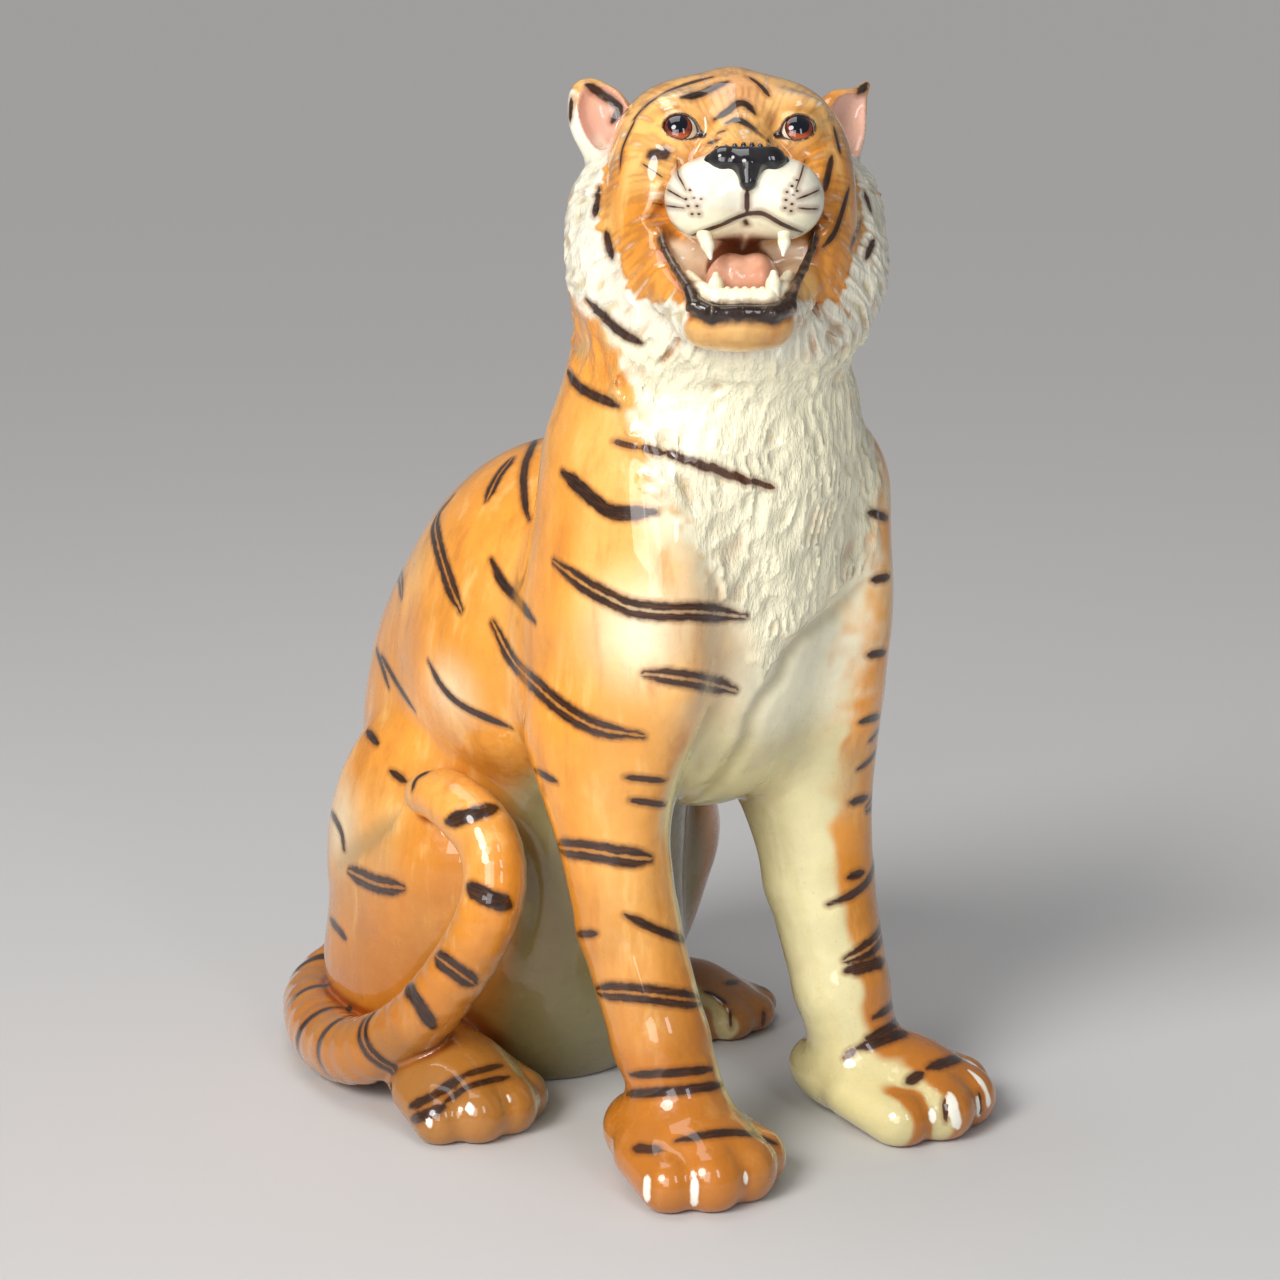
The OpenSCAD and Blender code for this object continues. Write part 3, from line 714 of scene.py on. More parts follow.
def share_out(verts, tris, distances):
    """Gives each triangle to the piece that it is nearest to, cut along the lines between pieces."""
    dist = distances(verts)
    names = list(dist)
    d = np.stack([dist[n] for n in names])
    owner = np.zeros(len(tris), int)
    for i in range(1, len(names)):
        value = d[i] - np.delete(d, i, 0).min(0)
        open_faces = owner == 0
        fixed, fixed_owner = tris[~open_faces], owner[~open_faces]
        verts, fresh, side = clip(verts, tris[open_faces], value)
        dist = distances(verts[d.shape[1]:])
        d = np.concatenate([d, np.stack([dist[n] for n in names])], 1)
        tris = np.concatenate([fixed, fresh])
        owner = np.concatenate([fixed_owner, np.where(side < 0, i, 0)])
    mean = d[:, tris].mean(2)
    astray = (owner == 0) & (mean[0] > mean.min(0) + 1.5)
    owner[astray] = mean.argmin(0)[astray]
    return verts, tris, owner, names


def rim_loops(tris):
    """Closed loops of the edges that only one triangle uses, in the direction of the triangle."""
    e = np.concatenate([tris[:, [0, 1]], tris[:, [1, 2]], tris[:, [2, 0]]])
    s = np.sort(e, 1)
    _, first, counts = np.unique(s, axis=0, return_index=True, return_counts=True)
    follow = {}
    for a, b in e[first[counts == 1]]:
        follow.setdefault(int(a), []).append(int(b))
    loops = []
    while follow:
        here = next(iter(follow))
        loop = []
        while here in follow:
            loop.append(here)
            step = follow[here].pop()
            if not follow[here]:
                del follow[here]
            here = step
        loops.append(loop)
    return loops


RIM_DEPTH = 4.0


def close_rims(verts, tris, normal):
    """Points and faces behind the open rims: a fan where it stays in the clay, or else a narrow lip turned inwards.

    Also gives the old point that each new one takes its paint and normal from."""
    places, source, faces = [], [], []
    count = len(verts)
    for rim in rim_loops(tris):
        hub = verts[rim].mean(0)
        fan = np.concatenate([verts[rim] * (1 - t) + hub * t for t in (0.25, 0.5, 0.75, 1.0)]).astype(F)
        pairs = list(zip(rim, rim[1:] + rim[:1]))
        if (evaluate(tiger, fan) < 1).all():
            faces += [(b, a, count) for a, b in pairs]
            places.append(hub[None])
            source += rim[:1]
        else:
            inner = dict(zip(rim, range(count, count + len(rim))))
            faces += [f for a, b in pairs for f in ((b, a, inner[a]), (b, inner[a], inner[b]))]
            places.append(verts[rim] - normal[rim] * F(RIM_DEPTH))
            source += rim
        count += len(places[-1])
    return (np.concatenate([np.zeros((0, 3), F)] + places), np.array(source, int),
            np.array(faces, int).reshape(-1, 3))


# Attributes by the number of values at each point
LAYERS = {1: ("FLOAT", "value"), 3: ("FLOAT_VECTOR", "vector"), 4: ("FLOAT_COLOR", "color")}


def make_mesh(name, verts, tris, normal, values=None):
    """A mesh object in metres with its rims closed, and its paint as point attributes."""
    behind, source, caps = close_rims(verts, tris, normal)
    points = np.concatenate([verts, behind]).astype(F) * F(MM)
    faces = np.concatenate([tris, caps])
    faces = faces[(faces != np.roll(faces, 1, axis=1)).all(1)]  # a rim that meets itself gives flat faces
    me = bpy.data.meshes.new(name)
    me.vertices.add(len(points))
    me.vertices.foreach_set("co", points.ravel())
    me.loops.add(len(faces) * 3)
    me.loops.foreach_set("vertex_index", faces.ravel().astype(np.int32))
    me.polygons.add(len(faces))
    me.polygons.foreach_set("loop_start", np.arange(0, len(faces) * 3, 3, dtype=np.int32))
    me.update(calc_edges=True)
    me.polygons.foreach_set("use_smooth", np.ones(len(faces), bool))
    for key, data in (values or {}).items():
        data = np.concatenate([data, data[source]]).astype(F)
        layer, field = LAYERS[1 if data.ndim == 1 else data.shape[1]]
        me.attributes.new(key, layer, "POINT").data.foreach_set(field, data.ravel())
    me.normals_split_custom_set_from_vertices(np.concatenate([normal, normal[source]]).tolist())
    return linked(name, me)


def linked(name, data):
    """A new object in the scene."""
    ob = bpy.data.objects.new(name, data)
    bpy.context.scene.collection.objects.link(ob)
    return ob


def place(ob, node, material):
    """The piece stands for its CAD node, which it hides, and rides on the root with the given material."""
    ob.data.materials.append(material)
    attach(ob, "root")
    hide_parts(node)
    return ob


# Camera of the photograph, which also reads where its marks lie on the clay

PHOTO = 1280
FOCAL = 3190.0
CAM_AZ, CAM_EL, CAM_DIST = -41.0, 13.0, 2300.0
CAM_TARGET = np.array([-150.0, -320.0, 430.0])
SENSOR = 36.0
# Rays to the clay: where they start before the camera's target, how far and in how many careful steps they go
RAY_START, RAY_REACH, RAY_STEPS, RAY_CARE = 520, 1600, 80, 0.85


def camera_axes():
    a, e = math.radians(CAM_AZ), math.radians(CAM_EL)
    back = np.array([math.sin(a) * math.cos(e), -math.cos(a) * math.cos(e), math.sin(e)])
    right = np.cross(-back, [0, 0, 1.0])
    right /= np.linalg.norm(right)
    return right, np.cross(right, -back), back


def cast(start, ray):
    """Points of the clay that rays meet, and which rays do."""
    start, ray = np.asarray(start, F), np.asarray(ray, F)
    t = np.zeros(len(start), F)
    for _ in range(RAY_STEPS):
        t = np.minimum(t + tiger(start + t[:, None] * ray) * F(RAY_CARE), RAY_REACH)
    p = start + t[:, None] * ray
    return p, np.abs(tiger(p)) < 1.5


def trace(marks):
    """Points of the clay under points of the photograph, and which of them meet it."""
    right, up, back = camera_axes()
    u = (np.asarray(marks, float) - PHOTO / 2) / FOCAL
    ray = u[:, :1] * right - u[:, 1:] * up - back
    ray /= np.linalg.norm(ray, axis=1, keepdims=True)
    eye = CAM_TARGET + CAM_DIST * back
    return cast(eye + ray * (CAM_DIST - RAY_START), ray)


def make_camera():
    right, up, back = camera_axes()
    cam = bpy.data.cameras.new("camera")
    cam.sensor_width = SENSOR
    cam.lens = FOCAL / PHOTO * SENSOR
    at = (CAM_TARGET + CAM_DIST * back) * MM
    ob = linked("camera", cam)
    ob.matrix_world = Matrix([[right[i], up[i], back[i], at[i]] for i in range(3)] + [[0, 0, 0, 1]])
    bpy.context.scene.camera = ob


def make_light(name, kind, energy, colour, at, towards):
    """A light at a place in metres, shining in a direction."""
    light = bpy.data.lights.new(name, kind)
    light.energy, light.color = energy, colour
    ob = linked(name, light)
    ob.location = at
    ob.rotation_euler = towards.to_track_quat("-Z", "Y").to_euler()
    return light


def make_area(name, at, target, size, energy, colour=(1, 1, 1)):
    light = make_light(name, "AREA", energy, colour, at, Vector(target) - Vector(at))
    light.shape = "RECTANGLE"
    light.size, light.size_y = size


FLOOR_HALF = 30.0
SUN_WAY = (0.85, 0.16, -0.66)


def make_stage():
    """White surroundings, a floor and the lamps, in metres and watts."""
    world = bpy.data.worlds.new("studio")
    world.use_nodes = True
    bg = world.node_tree.nodes["Background"]
    bg.inputs["Color"].default_value = (1.0, 1.0, 1.0, 1)
    bg.inputs["Strength"].default_value = 0.2
    bpy.context.scene.world = world
    me = bpy.data.meshes.new("floor")
    s = FLOOR_HALF
    me.from_pydata([(-s, -s, 0), (s, -s, 0), (s, s, 0), (-s, s, 0)], [], [(0, 1, 2, 3)])
    n = Nodes("floor")
    n.bsdf.inputs["Base Color"].default_value = (0.6, 0.6, 0.6, 1)
    n.bsdf.inputs["Roughness"].default_value = 0.7
    me.materials.append(n.mat)
    ob = linked("floor", me)
    make_light("sun", "SUN", 2.1, (1.0, 0.97, 0.94), (0, 0, 0), Vector(SUN_WAY)).angle = math.radians(25)
    make_area("softbox", (-1.9, -0.9, 1.1), (0, -0.15, 0.45), (0.6, 0.9), 10, (1.0, 0.93, 0.9))
    make_area("front", (-1.9, -1.6, 1.1), (0, -0.15, 0.55), (0.8, 1.4), 15)
    make_area("window", (-0.6, -2.4, 1.5), (-0.05, -0.2, 0.5), (0.35, 1.1), 8, (0.86, 0.9, 1.0))
    make_area("top", (-0.3, 0.3, 2.6), (0, 0, 0.4), (1.4, 1.4), 16)
    bpy.context.scene.view_settings.view_transform = "Standard"


# Paint: base colours on the points of the skin, and brush strokes as distances to their lines

def srgb(r, g, b):
    c = np.array([r, g, b]) / 255
    return np.where(c <= 0.04045, c / 12.92, ((c + 0.055) / 1.055) ** 2.4).astype(F)


ORANGE = srgb(236, 156, 55)
PALE_ORANGE = srgb(247, 190, 106)
LOW_SHADE_ORANGE = srgb(174, 102, 26)
CREAM = srgb(246, 240, 208)
WHITE = srgb(240, 235, 214)
GREENISH = srgb(226, 216, 166)
OLIVE_TINT_AND_SHADE = srgb(108, 100, 62)
LOW_SHADE_SAGE = srgb(196, 182, 124)
FOLD_SHADE = srgb(150, 130, 82)
DUSKY = srgb(158, 112, 52)
TAN = srgb(222, 170, 98)
BROW = srgb(232, 200, 160)
FOREHEAD = srgb(232, 168, 112)
PINK = srgb(238, 186, 164)
PALATE = srgb(128, 72, 42)
GUM_PINK = srgb(238, 212, 180)
SHADE_BROWN = srgb(150, 86, 30)
INNER_LIP = srgb(234, 202, 164)
LID = srgb(52, 28, 16)
POOLED_AND_SHADED = srgb(120, 70, 26)
FUR_SHADE = srgb(206, 186, 130)


def mix(a, b, t):
    return a + (b - a) * np.asarray(t, F)[:, None]


def spot(p, at, reach):
    """1 in the middle of a soft spot, 0 beyond its reach."""
    d = np.linalg.norm((p - np.asarray(at, F)) / np.asarray(reach, F), axis=1)
    return smooth(1, 0, d)


# Painted highlights as pale spots on both sides of the body, on the shoulder, flank and thigh, and spots on the face,
# the brown ones painted shade: colour, middle, reach and share
BODY_HIGHLIGHTS = [(CREAM, (130, -296, 430), (48, 64, 66), 0.85), (CREAM, (138, -80, 345), (50, 48, 42), 0.5),
              (CREAM, (146, 62, 205), (60, 50, 60), 0.6)]
FACE_SPOTS = [(FOREHEAD, (0, -66, 44), (52, 40, 46), 1), (BROW, (46, -64, 45), (34, 30, 15), 1),
              # brown painted shade beside the nose bridge, in the brow crease and at the cheeks' edge
              (BROW, (34, -92, 4), (26, 22, 16), 0.6), (SHADE_BROWN, (24, -84, 22), (9, 20, 16), 0.6),
              (SHADE_BROWN, (46, -70, 31), (24, 16, 6), 0.6), (SHADE_BROWN, (70, -60, -34), (14, 40, 60), 0.35)]


def spotted(col, f, spots):
    for colour, at, reach, share in spots:
        col = mix(col, colour, spot(f, at, reach) * share)
    return col


def body_paint(p, n):
    """Glaze below the neck: orange with painted highlights in paler spots, painted shade darker towards the floor,
    cream on the chest, greenish inside the legs, and dark at the belly, partly its olive tint and partly painted
    shade.
    """
    x, y, z = p.T
    side = np.where(x < 0, F(-1), F(1))
    f = fold(p)
    blotch = noise(p / 70)
    col = mix(np.tile(ORANGE, (len(p), 1)), PALE_ORANGE, smooth(0.35, 0.8, blotch) * 0.7)
    # painted shade: the orange darkens towards the floor
    col = mix(col, LOW_SHADE_ORANGE, smooth(330, 40, z) * 0.85)
    # painted highlights: pale spots on the shoulders, flanks and thighs
    col = spotted(col, f, BODY_HIGHLIGHTS)
    hind = smooth(95, 60, z) * smooth(-40, -75, y) * smooth(-200, -175, y)
    col = mix(col, DUSKY, hind * 0.55)
    soft = np.interp(z, [400, 480, 540], [18, 12, 3]).astype(F)
    soft = np.where(side < 0, soft, np.minimum(soft, F(6)))
    edge = bib_edge(p, PALE) + (noise(p / 9) - 0.5) * np.interp(soft, [3, 15], [10, 3]) + (noise(p / 28) - 0.5) * 8
    ahead = smooth(-200, -235, y)
    col = mix(col, CREAM, smooth(-1.5, 1, edge / soft) * ahead * smooth(300, 330, z))
    rim = np.exp(-(bib_edge(p, FURRY) / 3) ** 2) * smooth(0.3, 0.7, noise(p / 7))
    col = mix(col, TAN, rim * ahead * smooth(440, 500, z) * 0.7)
    under = smooth(0.15, -0.2, n[:, 2]) * smooth(-310, -290, y) * smooth(105, 85, f[:, 0])
    under *= smooth(400, 310, z)
    col = mix(col, GREENISH, under * smooth(-80, -130, y))
    wob = (noise(p / 16) - 0.5) * 0.3
    facing = n[:, 0] * side + wob
    inner = np.where(side < 0, smooth(-0.4, -0.72, facing), smooth(-0.28, -0.5, facing))
    instep = smooth(0, 0.45, n[:, 2] + wob) * smooth(96, 108, x) * smooth(74, 50, z)
    inner *= smooth(400, 300, z) * (1 - instep * smooth(-200, -250, y))
    col = mix(col, GREENISH, inner * smooth(-40, -90, y))
    # the belly's recess between the legs: partly its olive tint, partly painted shade
    belly_tint_and_shade = smooth(-215, -170, y) * smooth(-60, -95, y) * smooth(330, 250, z) * smooth(118, 84, f[:, 0])
    # painted shade: the inner legs darken towards the floor
    col = mix(col, LOW_SHADE_SAGE, inner * smooth(120, 30, z) * smooth(-40, -90, y) * 0.6)
    col = mix(col, OLIVE_TINT_AND_SHADE, belly_tint_and_shade * 0.85)
    return mix(col, FOLD_SHADE, pressed(p)[1] * 0.55)


def head_paint(p):
    """Glaze of the head: orange face with pale brows and pads, brown painted shade round the eyes and at the cheeks'
    edge, white ruff, dark lids, pale mouth, pink ears.
    """
    q = to_head(p)
    y, z = q[:, 1], q[:, 2]
    f = fold(q)
    m = to_mouth(q)
    wob = (noise(p / 8) - 0.5)
    col = mix(np.tile(ORANGE, (len(p), 1)), PALE_ORANGE, smooth(0.3, 0.75, noise(p / 40)))
    col = spotted(col, f, FACE_SPOTS)
    shade = ruff_share(q, f)
    spoke, far = ruff_spokes(q, f)
    hair = noise(np.stack([spoke * 34, far / 30, y / 20], 1)) - 0.5
    fringe = shade + wob * 0.5 + hair * 1.1
    # painted shade: brown on the cheeks' edge where the face meets the ruff
    col = mix(col, SHADE_BROWN, smooth(-0.1, 0.2, fringe) * 0.4)
    col = mix(col, WHITE, smooth(0.25, 0.8, fringe))
    pad = np.minimum(ball(f, *PAD), ball(q, (0, -88, -40), (34, 38, 24)))
    col = mix(col, WHITE, smooth(5, 1.5, pad + wob * 3) * smooth(-3, -9, z + 0.12 * f[:, 0]))
    col = mix(col, LID, smooth(2.2, 1.0, eye_hole(f)) * smooth(-50, -60, y))
    around, depth = lips(m)
    inside = np.maximum(smooth(3.5, 0.5, mouth(m)), smooth(1, -3, around) * smooth(3, 9, depth))
    low = smooth(-56, -66, z)
    inner = mix(np.tile(INNER_LIP, (len(p), 1)), GUM_PINK, smooth(0.3, 0.7, noise(p / 12)))
    col = mix(col, inner, inside * low)
    col = mix(col, CREAM, inside * smooth(-58, -64, z) * smooth(-80, -72, z) * smooth(-70, -82, y))
    col = mix(col, CREAM, smooth(4, 0.5, gum(fold(m))) * inside)
    col = mix(col, LID, spot(f, (50, -60, -56), (9, 14, 12)) * 0.9)
    deep = smooth(1.5, -1.5, throat(m) - 1) * smooth(-92, -74, y)
    col = mix(col, PALATE, deep * smooth(3.5, 0.5, mouth(m)))
    beard = mix(np.tile(TAN, (len(p), 1)), ORANGE, smooth(-136, -124, z) * 0.5)
    col = mix(col, beard, smooth(5, 2, chin(m)) * (1 - inside))
    for side in (RIGHT, LEFT):
        at, rot, _ = EARS[side]
        e = (q - np.asarray(at, F)) @ rot
        cup = smooth(2.5, 0, ear_cup(e, side))
        col = mix(col, PINK, cup)
        col = mix(col, WHITE, cup * smooth(0.25, 0.7, noise(e / (9, 30, 30))) * smooth(4, -22, e[:, 2]))
    return col


HOLLOW = 7


def base_paint(p, n):
    """All the glaze under the strokes, with painted shade in the fur's hollows and in other hollows, where glaze also
    pools.
    """
    up = above_neck(p)
    col = mix(body_paint(p, n), head_paint(p), smooth(-10, 6, up + (noise(p / 14) - 0.5) * 14))
    m = may_be_furry(p)
    sunk = np.zeros(len(p), F)
    sunk[m] = fur(p[m])[0]
    # painted shade in the fur's hollows
    col = mix(col, FUR_SHADE, smooth(0.1, 1.5, sunk) * 0.7)
    # darker in hollows found along the normal: partly glaze pooling, partly painted shade
    hollow = 1 - np.clip(evaluate(tiger, p + n * F(HOLLOW)) / HOLLOW, 0, 1)
    open_mouth = smooth(6, 2, mouth(to_mouth(to_head(p)))) * smooth(0, 10, up)
    calm = 0.75 - 0.5 * open_mouth - 0.4 * smooth(0.2, 1.0, np.abs(sunk)) * (1 - open_mouth)
    return mix(col, col * POOLED_AND_SHADED * 2.6, smooth(0.12, 0.75, hollow) * calm)


# Strokes in points of the photograph: full width in pixels, tone (0 black to 1 brown, 2 a pale claw), width of
# the paler middle, whether the unseen side has it too, and the line
STROKES = [
    (10, 0.2, 0, True, (587, 300), (618, 330), (641, 343)),
    (10, 0.2, 0, True, (565, 368), (582, 389), (618, 406)),
    (6, 0.6, 0, False, (613, 441), (638, 448)),
    (8, 0.5, 0, False, (641, 447), (664, 453)),
    (9, 0.4, 0, False, (667, 452), (689, 462)),
    (9, 0.4, 0, False, (688, 459), (711, 470)),
    (9, 0.5, 0, False, (708, 465), (733, 478)),
    (8, 0.5, 0, False, (731, 473), (750, 483)),
    (6, 0.6, 0, False, (750, 480), (774, 488)),
    (15, 0.1, 0, False, (562, 472), (585, 492), (612, 512), (655, 512)),
    (9, 0.2, 0, True, (537, 436), (525, 466), (524, 492), (529, 519), (545, 539)),
    (14, 0.2, 4, True, (512, 458), (497, 478), (487, 500)),
    (17, 0.2, 5, True, (452, 497), (436, 519), (438, 545), (450, 585), (461, 610)),
    (11, 0.1, 0, True, (491, 559), (502, 582), (516, 598), (535, 622)),
    (17, 0.2, 5, False, (554, 562), (582, 583), (605, 596), (632, 608), (665, 612), (698, 612), (745, 617)),
    (17, 0.2, 5, True, (493, 623), (513, 661), (539, 688), (566, 711), (598, 728), (642, 736)),
    (9, 0.2, 0, True, (428, 661), (443, 688), (466, 708), (512, 728)),
    (7, 0.2, 0, True, (376, 648), (389, 688)),
    (7, 0.2, 0, True, (381, 655), (398, 685), (415, 711)),
    (9, 0.2, 0, True, (361, 724), (378, 744)),
    (13, 0.2, 4, True, (400, 572), (402, 597)),
    (16, 0.3, 5, False, (645, 674), (672, 677), (698, 681), (735, 690)),
    (8, 0.2, 0, True, (527, 766), (557, 782)),
    (7, 0.3, 0, True, (625, 777), (665, 781)),
    (7, 0.3, 0, True, (630, 800), (665, 805)),
    (20, 0.2, 6, True, (555, 847), (590, 851), (620, 856), (650, 859)),
    (8, 0.3, 0, True, (573, 935), (597, 933)),
    (9, 0.2, 0, True, (625, 915), (655, 929), (685, 940)),
    (18, 0.2, 5, True, (589, 991), (620, 992), (660, 996), (700, 1001)),
    (9, 0.2, 0, True, (630, 1075), (670, 1073), (712, 1069)),
    (10, 0.2, 0, True, (627, 1094), (672, 1091), (722, 1085)),
    (11, 0.4, 0, False, (634, 1148), (660, 1150)),
    (10, 0.2, 0, False, (676, 1141), (712, 1134), (746, 1133), (777, 1144)),
    (9, 0.2, 0, False, (868, 512), (888, 518)),
    (9, 0.2, 0, False, (872, 580), (894, 576)),
    (9, 0.2, 0, False, (868, 655), (890, 652)),
    (9, 0.2, 0, False, (860, 722), (880, 716)),
    (9, 0.2, 0, False, (850, 803), (868, 797)),
    (9, 0.2, 0, False, (848, 878), (864, 872)),
    (13, 0.3, 0, False, (846, 971), (864, 967), (884, 961)),
    (8, 0.6, 0, False, (844, 1058), (856, 1049)),
    (12, 0.2, 0, False, (858, 1048), (880, 1041), (906, 1032)),
    (12, 0.2, 0, False, (907, 1083), (922, 1073)),
    (13, 0.2, 0, False, (928, 1068), (950, 1061), (975, 1051)),
    (5, 0.5, 0, False, (944, 1100), (946, 1122)),
    (5, 0.4, 0, False, (979, 1092), (981, 1114)),
    (9, 0.2, 0, False, (726, 984), (738, 981)),
    (11, 0.1, 0, False, (742, 977), (756, 983), (768, 990)),
    (5, 0.2, 0, False, (704, 991), (716, 996), (727, 1004)),
    (4, 0.4, 0, False, (730, 1010), (731, 1028)),
    (6, 0.4, 0, False, (764, 1010), (763, 1026)),
    (19, 0.2, 6, True, (349, 871), (376, 884), (403, 888)),
    (9, 0.2, 0, True, (329, 808), (341, 831), (344, 850)),
    (9, 0.2, 0, True, (327, 915), (346, 939)),
    (8, 0.2, 0, True, (390, 771), (406, 782)),
    (12, 0.2, 0, True, (411, 1120), (428, 1114), (444, 1106)),
    (13, 0.2, 0, True, (410, 1107), (436, 1094), (463, 1076)),
    (8, 0.3, 0, True, (462, 1076), (482, 1070), (502, 1065)),
    (8, 0.2, 0, True, (444, 1103), (466, 1088), (488, 1081), (510, 1077)),
    (7, 0.1, 0, False, (412, 790), (417, 778), (430, 771)),
    (17, 0.1, 0, False, (447, 822), (470, 815), (496, 807)),
    (19, 0.1, 0, False, (468, 887), (489, 898), (510, 906)),
    (20, 0.15, 5, False, (437, 957), (456, 971), (474, 984)),
    (17, 0.1, 0, False, (407, 986), (419, 1004), (433, 1027)),
    (10, 2.0, 0, True, (647, 1177), (646, 1201)),
    (8, 2.0, 0, True, (695, 1178), (694, 1206)),
    (6, 2.0, 0, True, (745, 1172), (746, 1184)),
    (8, 2.0, 0, False, (932, 1110), (933, 1122)),
    (12, 2.0, 0, False, (950, 1094), (958, 1128)),
    (8, 2.0, 0, False, (977, 1098), (979, 1116)),
    (8, 2.0, 0, True, (427, 1114), (430, 1127)),
    (9, 2.0, 0, True, (469, 1104), (471, 1113)),
    (7, 2.0, 0, True, (508, 1096), (510, 1101)),
    (7, 0.2, 0, False, (634, 119), (645, 106), (664, 93), (690, 83), (712, 77)),
    (9, 0.0, 0, False, (682, 97), (699, 94), (712, 88), (727, 82)),
    (5, 0.2, 0, False, (749, 77), (760, 85), (769, 96)),
    (8, 0.0, 0, False, (715, 119), (727, 112), (738, 103), (747, 105), (755, 114)),
    (9, 0.0, 0, False, (727, 123), (738, 120), (751, 127), (762, 136), (773, 144)),
    (7, 0.0, 0, False, (718, 133), (724, 131)),
    (6, 0.1, 0, False, (708, 143), (719, 140)),
    (13, 0.1, 0, False, (649, 156), (660, 154), (668, 153)),
    (9, 0.0, 0, False, (586, 84), (603, 95), (619, 108), (612, 122)),
    (7, 0.1, 0, False, (571, 99), (570, 121)),
    (4, 0.3, 0, False, (636, 118), (623, 147), (620, 169)),
    (8, 0.1, 0, False, (599, 188), (597, 202), (595, 216)),
    (9, 0.1, 0, False, (606, 232), (609, 246), (612, 258)),
    (7, 0.1, 0, False, (865, 193), (871, 212)),
    (8, 0.1, 0, False, (874, 240), (866, 258)),
    (7, 0.1, 0, False, (832, 156), (828, 175), (824, 195)),
    (6, 0.2, 0, False, (849, 188), (836, 230), (823, 247)),
    (7, 0.1, 0, False, (860, 221), (851, 247)),
    (5, 0.2, 0, False, (834, 127), (840, 153)),
    (9, 0.0, 0, False, (858, 93), (867, 83)),
    (5, 0.25, 0, False, (747, 190), (747, 212)),
    (10, 0.0, 0, False, (745, 221), (747, 224)),
    (5, 0.25, 0, False, (688, 237), (704, 231), (721, 225), (734, 219), (747, 214), (758, 213), (766, 215), (786, 226),
     (810, 235)),
]
# Whiskers' roots and dots on the pads
FINE = [
    (677, 160, 678, 175, 686, 190), (663, 187, 675, 194, 686, 200), (653, 203, 668, 206, 684, 208),
    (643, 164, 652, 170, 662, 177), (805, 160, 801, 175, 796, 189), (819, 190, 808, 195, 797, 199),
    (818, 209, 808, 209, 799, 208),
]
DOTS = [(690, 190), (694, 198), (688, 206), (697, 206), (692, 214), (699, 214), (686, 199), (701, 199), (797, 180),
        (792, 186), (787, 192), (793, 195), (786, 200), (792, 204), (785, 208), (791, 211), (797, 191)]
FINE_HALF = 0.7
DOT_HALF = 0.8
# Rings as place along TAIL and half width, bands as height and half width in pixels
TAIL_RINGS = [(0.9, 8), (2.0, 5), (2.9, 4), (3.8, 4), (4.6, 4), (5.7, 7)]
BACK_BANDS = [(752, 6), (700, 7), (650, 8), (600, 8), (545, 9), (492, 8), (430, 9), (372, 8), (316, 9),
              (262, 8), (206, 9)]
BAND_SPREAD = {RIGHT: np.linspace(4, 44, 24), LEFT: np.linspace(4, 56, 24)}
BEHIND = 500.0
PX = 1.33  # pixels of the photograph to a millimetre
GAP_SHARE = 0.6
LEAP = 25  # millimetres between neighbouring points that are on different clay
MAIN_SHARE = 0.3
TIP = 0.45  # width of a stroke's ends as a share of its width


def even(points, gap):
    """The line with points about one gap apart."""
    c = np.asarray(points, float)
    run = np.concatenate([[0], np.cumsum(np.linalg.norm(np.diff(c, axis=0), axis=1))])
    n = max(2, int(run[-1] / gap) + 1)
    return np.stack([np.interp(np.linspace(0, run[-1], n), run, c[:, i]) for i in range(c.shape[1])], 1)


def in_one(work, lines):
    """Runs work on all the lines' points at once. Gives each line the results for its own points."""
    ends = np.cumsum([len(c) for c in lines])[:-1]
    done = work(np.concatenate(lines))
    return list(zip(*[np.split(d, ends) for d in done]))


def front(pts):
    """The stroke without what fell on the clay behind."""
    cuts = np.flatnonzero(np.linalg.norm(np.diff(pts, axis=0), axis=1) > LEAP) + 1
    long = [c for c in np.split(pts, cuts) if len(c) > MAIN_SHARE * len(pts)]
    return max(long, key=lambda c: (c @ camera_axes()[2]).mean()) if long else pts


def mirrored(pts):
    """The points on the other side of the body, pulled onto the clay."""
    pts = pts * np.array([-1, 1, 1], F)
    for _ in range(5):
        pts = settle(tiger, pts, 6)
    return pts, np.abs(tiger(pts)) < 2


def all_strokes():
    """Every broad stroke, see with_facing()."""
    lines = [even(curve(line, 6) if len(line) > 2 else line, 4) for _, _, _, _, *line in STROKES]
    found = [front(pts[hit]) for pts, hit in in_one(trace, lines)]
    out = [(pts, (width + gap / 4) / 2 / PX, gap * GAP_SHARE / 2 / PX, tone, TIP)
           for pts, (width, tone, gap, *_) in zip(found, STROKES)]
    twins = [o for o, row in zip(out, STROKES) if row[3]]
    for (pts, hit), (_, *rest) in zip(in_one(mirrored, [t[0] for t in twins]), twins):
        out.append((pts[hit], *rest))
    out += [(tail_ring(at), half, half * 0.3 if half > 6 else 0, 0.1, 1.0) for at, half in TAIL_RINGS]
    bands = [np.stack([side * x, np.full(len(x), BEHIND), z + 0.32 * x + 5 * np.sin(x / 14 + z)], 1)
             for z, _ in BACK_BANDS for side, x in BAND_SPREAD.items()]
    found = in_one(lambda c: cast(c, np.tile([0, -1.0, 0], (len(c), 1))), bands)
    out += [(pts[hit], BACK_BANDS[i // 2][1] / PX, 0, 0.15, TIP) for i, (pts, hit) in enumerate(found)]
    return with_facing(out)


